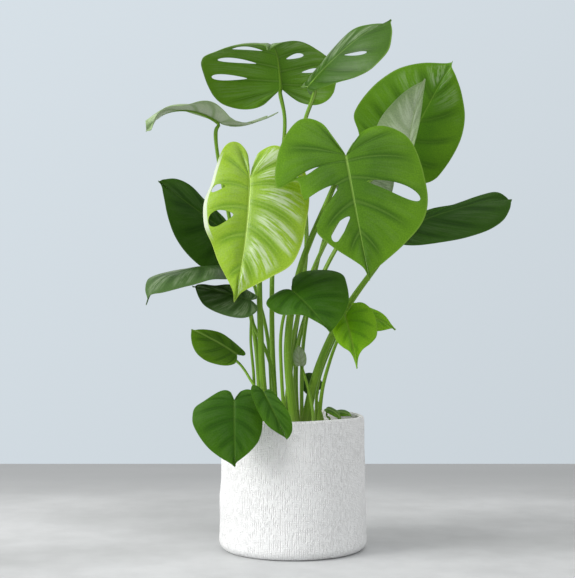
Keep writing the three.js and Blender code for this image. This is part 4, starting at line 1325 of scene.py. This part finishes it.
class PLANT_OT_pot(bpy.types.Operator):
    """Add the cover pot with its cloth relief."""

    bl_idname = "plant.add_pot"
    bl_label = "Cover pot"

    def execute(self, context):
        points, maps = pot_grid(sizes())
        piece = new_piece("cover_pot", [(points, maps, True, 0)], [glaze_finish(colours())])
        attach(piece, "root")
        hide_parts("pot")
        return {"FINISHED"}


class PLANT_OT_soil(bpy.types.Operator):
    """Add the soil that fills the pot."""

    bl_idname = "plant.add_soil"
    bl_label = "Soil"

    def execute(self, context):
        points, maps = soil_grid(sizes())
        piece = new_piece("soil_fill", [(points, maps, False, 0)], [soil_finish(colours())])
        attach(piece, "root")
        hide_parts("soil")
        return {"FINISHED"}


# Stage, in metres
FLOOR_NEAR, FLOOR_FAR, FLOOR_REACH = -3.4, 0.873, 4.5
LAMPS = [
    # name, place, aim, size, watts, tint
    ("stage_window", (-2.1, -1.0, 1.3), (0.0, 0.0, 0.35), 1.4, 50.0, (1.0, 0.995, 0.98)),
    ("stage_fill", (0.3, -1.1, 2.4), (0.0, 0.0, 0.3), 1.6, 8.0, (0.98, 0.99, 1.0)),
]
CAMERA_PLACE = (-0.0074, -1.822, 0.349)
CAMERA_LENS = 84.083  # in millimetres, as the sensor is
CAMERA_SENSOR = 36.0
ROOM_LIGHT = (0.75, 0.755, 0.76)
BACKDROP_RISE = 0.2  # how much lighter the backdrop gets upwards
BACKDROP_DRIFT = -0.16  # and how much darker to the right


class PLANT_OT_stage(bpy.types.Operator):
    """Add the floor, the backdrop's light, the lamps and the camera."""

    bl_idname = "plant.add_stage"
    bl_label = "Stage"

    def execute(self, context):
        scene = context.scene
        floor = add_floor(scene)
        lamps = [add_lamp(scene, *lamp) for lamp in LAMPS]
        viewer = add_camera(scene)
        backdrop(scene, colours().backdrop)
        scene.view_settings.view_transform = "Standard"
        return {"FINISHED"}


def add_floor(scene):
    """The floor: one rectangle, whose far edge is the line where the backdrop starts."""
    near, far, reach = FLOOR_NEAR, FLOOR_FAR, FLOOR_REACH
    mesh = bpy.data.meshes.new("stage_floor")
    corners = [(-reach, near, 0), (reach, near, 0), (reach, far, 0), (-reach, far, 0)]
    mesh.from_pydata(corners, [], [(0, 1, 2, 3)])
    mesh.materials.append(floor_finish(colours()))
    floor = bpy.data.objects.new("stage_floor", mesh)
    scene.collection.objects.link(floor)
    return floor


def add_lamp(scene, name, place, aim, size, watts, tint):
    """A soft square lamp that faces its aim."""
    lamp = bpy.data.lights.new(name, "AREA")
    lamp.shape = "SQUARE"
    lamp.size = size
    lamp.energy = watts
    lamp.color = tint
    holder = bpy.data.objects.new(name, lamp)
    holder.location = place
    holder.rotation_euler = (Vector(aim) - Vector(place)).to_track_quat("-Z", "Y").to_euler()
    scene.collection.objects.link(holder)
    return holder


def add_camera(scene):
    """The camera: level, and looking straight at the front of the plant."""
    camera = bpy.data.cameras.new("stage_camera")
    camera.lens = CAMERA_LENS
    camera.sensor_width = CAMERA_SENSOR
    viewer = bpy.data.objects.new("stage_camera", camera)
    viewer.location = CAMERA_PLACE
    viewer.rotation_euler = (np.pi / 2, 0.0, 0.0)
    scene.collection.objects.link(viewer)
    scene.camera = viewer
    return viewer


def backdrop(scene, tint):
    """A plain backdrop, a little lighter upwards and to the left, which only the camera sees; the
    plant is lit by an even room light instead."""
    world = bpy.data.worlds.new("stage_backdrop")
    world.use_nodes = True
    nodes, links = world.node_tree.nodes, world.node_tree.links
    ground = nodes["Background"]
    direction = nodes.new("ShaderNodeTexCoord").outputs["Generated"]
    parts = nodes.new("ShaderNodeSeparateXYZ")
    links.new(direction, parts.inputs[0])
    total = None
    for socket, weight in ((parts.outputs[2], BACKDROP_RISE), (parts.outputs[0], BACKDROP_DRIFT)):
        step = nodes.new("ShaderNodeMath")
        step.operation = "MULTIPLY_ADD"
        step.inputs[1].default_value = weight
        links.new(socket, step.inputs[0])
        if total is None:
            step.inputs[2].default_value = 1.0
        else:
            links.new(total, step.inputs[2])
        total = step.outputs[0]
    links.new(total, ground.inputs["Strength"])
    ground.inputs["Color"].default_value = (*tint, 1.0)
    room = nodes.new("ShaderNodeBackground")
    room.inputs["Color"].default_value = (*ROOM_LIGHT, 1.0)
    seen = nodes.new("ShaderNodeLightPath").outputs["Is Camera Ray"]
    both = nodes.new("ShaderNodeMixShader")
    links.new(seen, both.inputs[0])
    links.new(room.outputs[0], both.inputs[1])
    links.new(ground.outputs[0], both.inputs[2])
    links.new(both.outputs[0], nodes["World Output"].inputs["Surface"])
    scene.world = world


def above_soil():
    """The move from the leaf list's heights, counted from the soil's surface, to the frame's."""
    return Matrix.Translation((0.0, 0.0, SOIL_TOP * MM))


class PLANT_PT_build(bpy.types.Panel):
    """Lists the plant's builders, sizes and colours."""

    bl_label = "Potted plant"
    bl_idname = "PLANT_PT_build"
    bl_space_type = "VIEW_3D"
    bl_region_type = "UI"
    bl_category = "Plant"

    def draw(self, context):
        for builder in BUILDERS:
            self.layout.operator(builder.bl_idname)
        for group in (context.scene.plant_sizes, context.scene.plant_colours):
            for key in group.__annotations__:
                self.layout.prop(group, key)


BUILDERS = (PLANT_OT_pot, PLANT_OT_soil, PLANT_OT_stalks, PLANT_OT_blades, PLANT_OT_stage)
CLASSES = (PlantSizes, PlantColours, *BUILDERS, PLANT_PT_build)


def register():
    """Adds the classes, and the two groups of values to the scene."""
    for cls in CLASSES:
        bpy.utils.register_class(cls)
    bpy.types.Scene.plant_sizes = bpy.props.PointerProperty(type=PlantSizes)
    bpy.types.Scene.plant_colours = bpy.props.PointerProperty(type=PlantColours)


def unregister():
    """Takes the groups and the classes away again."""
    del bpy.types.Scene.plant_colours
    del bpy.types.Scene.plant_sizes
    for cls in reversed(CLASSES):
        bpy.utils.unregister_class(cls)


def main():
    """Builds the pieces and the stage."""
    register()
    bpy.ops.plant.add_pot()
    bpy.ops.plant.add_soil()
    bpy.ops.plant.add_stalks()
    bpy.ops.plant.add_blades()
    bpy.ops.plant.add_stage()


if __name__ == "__main__":
    main()
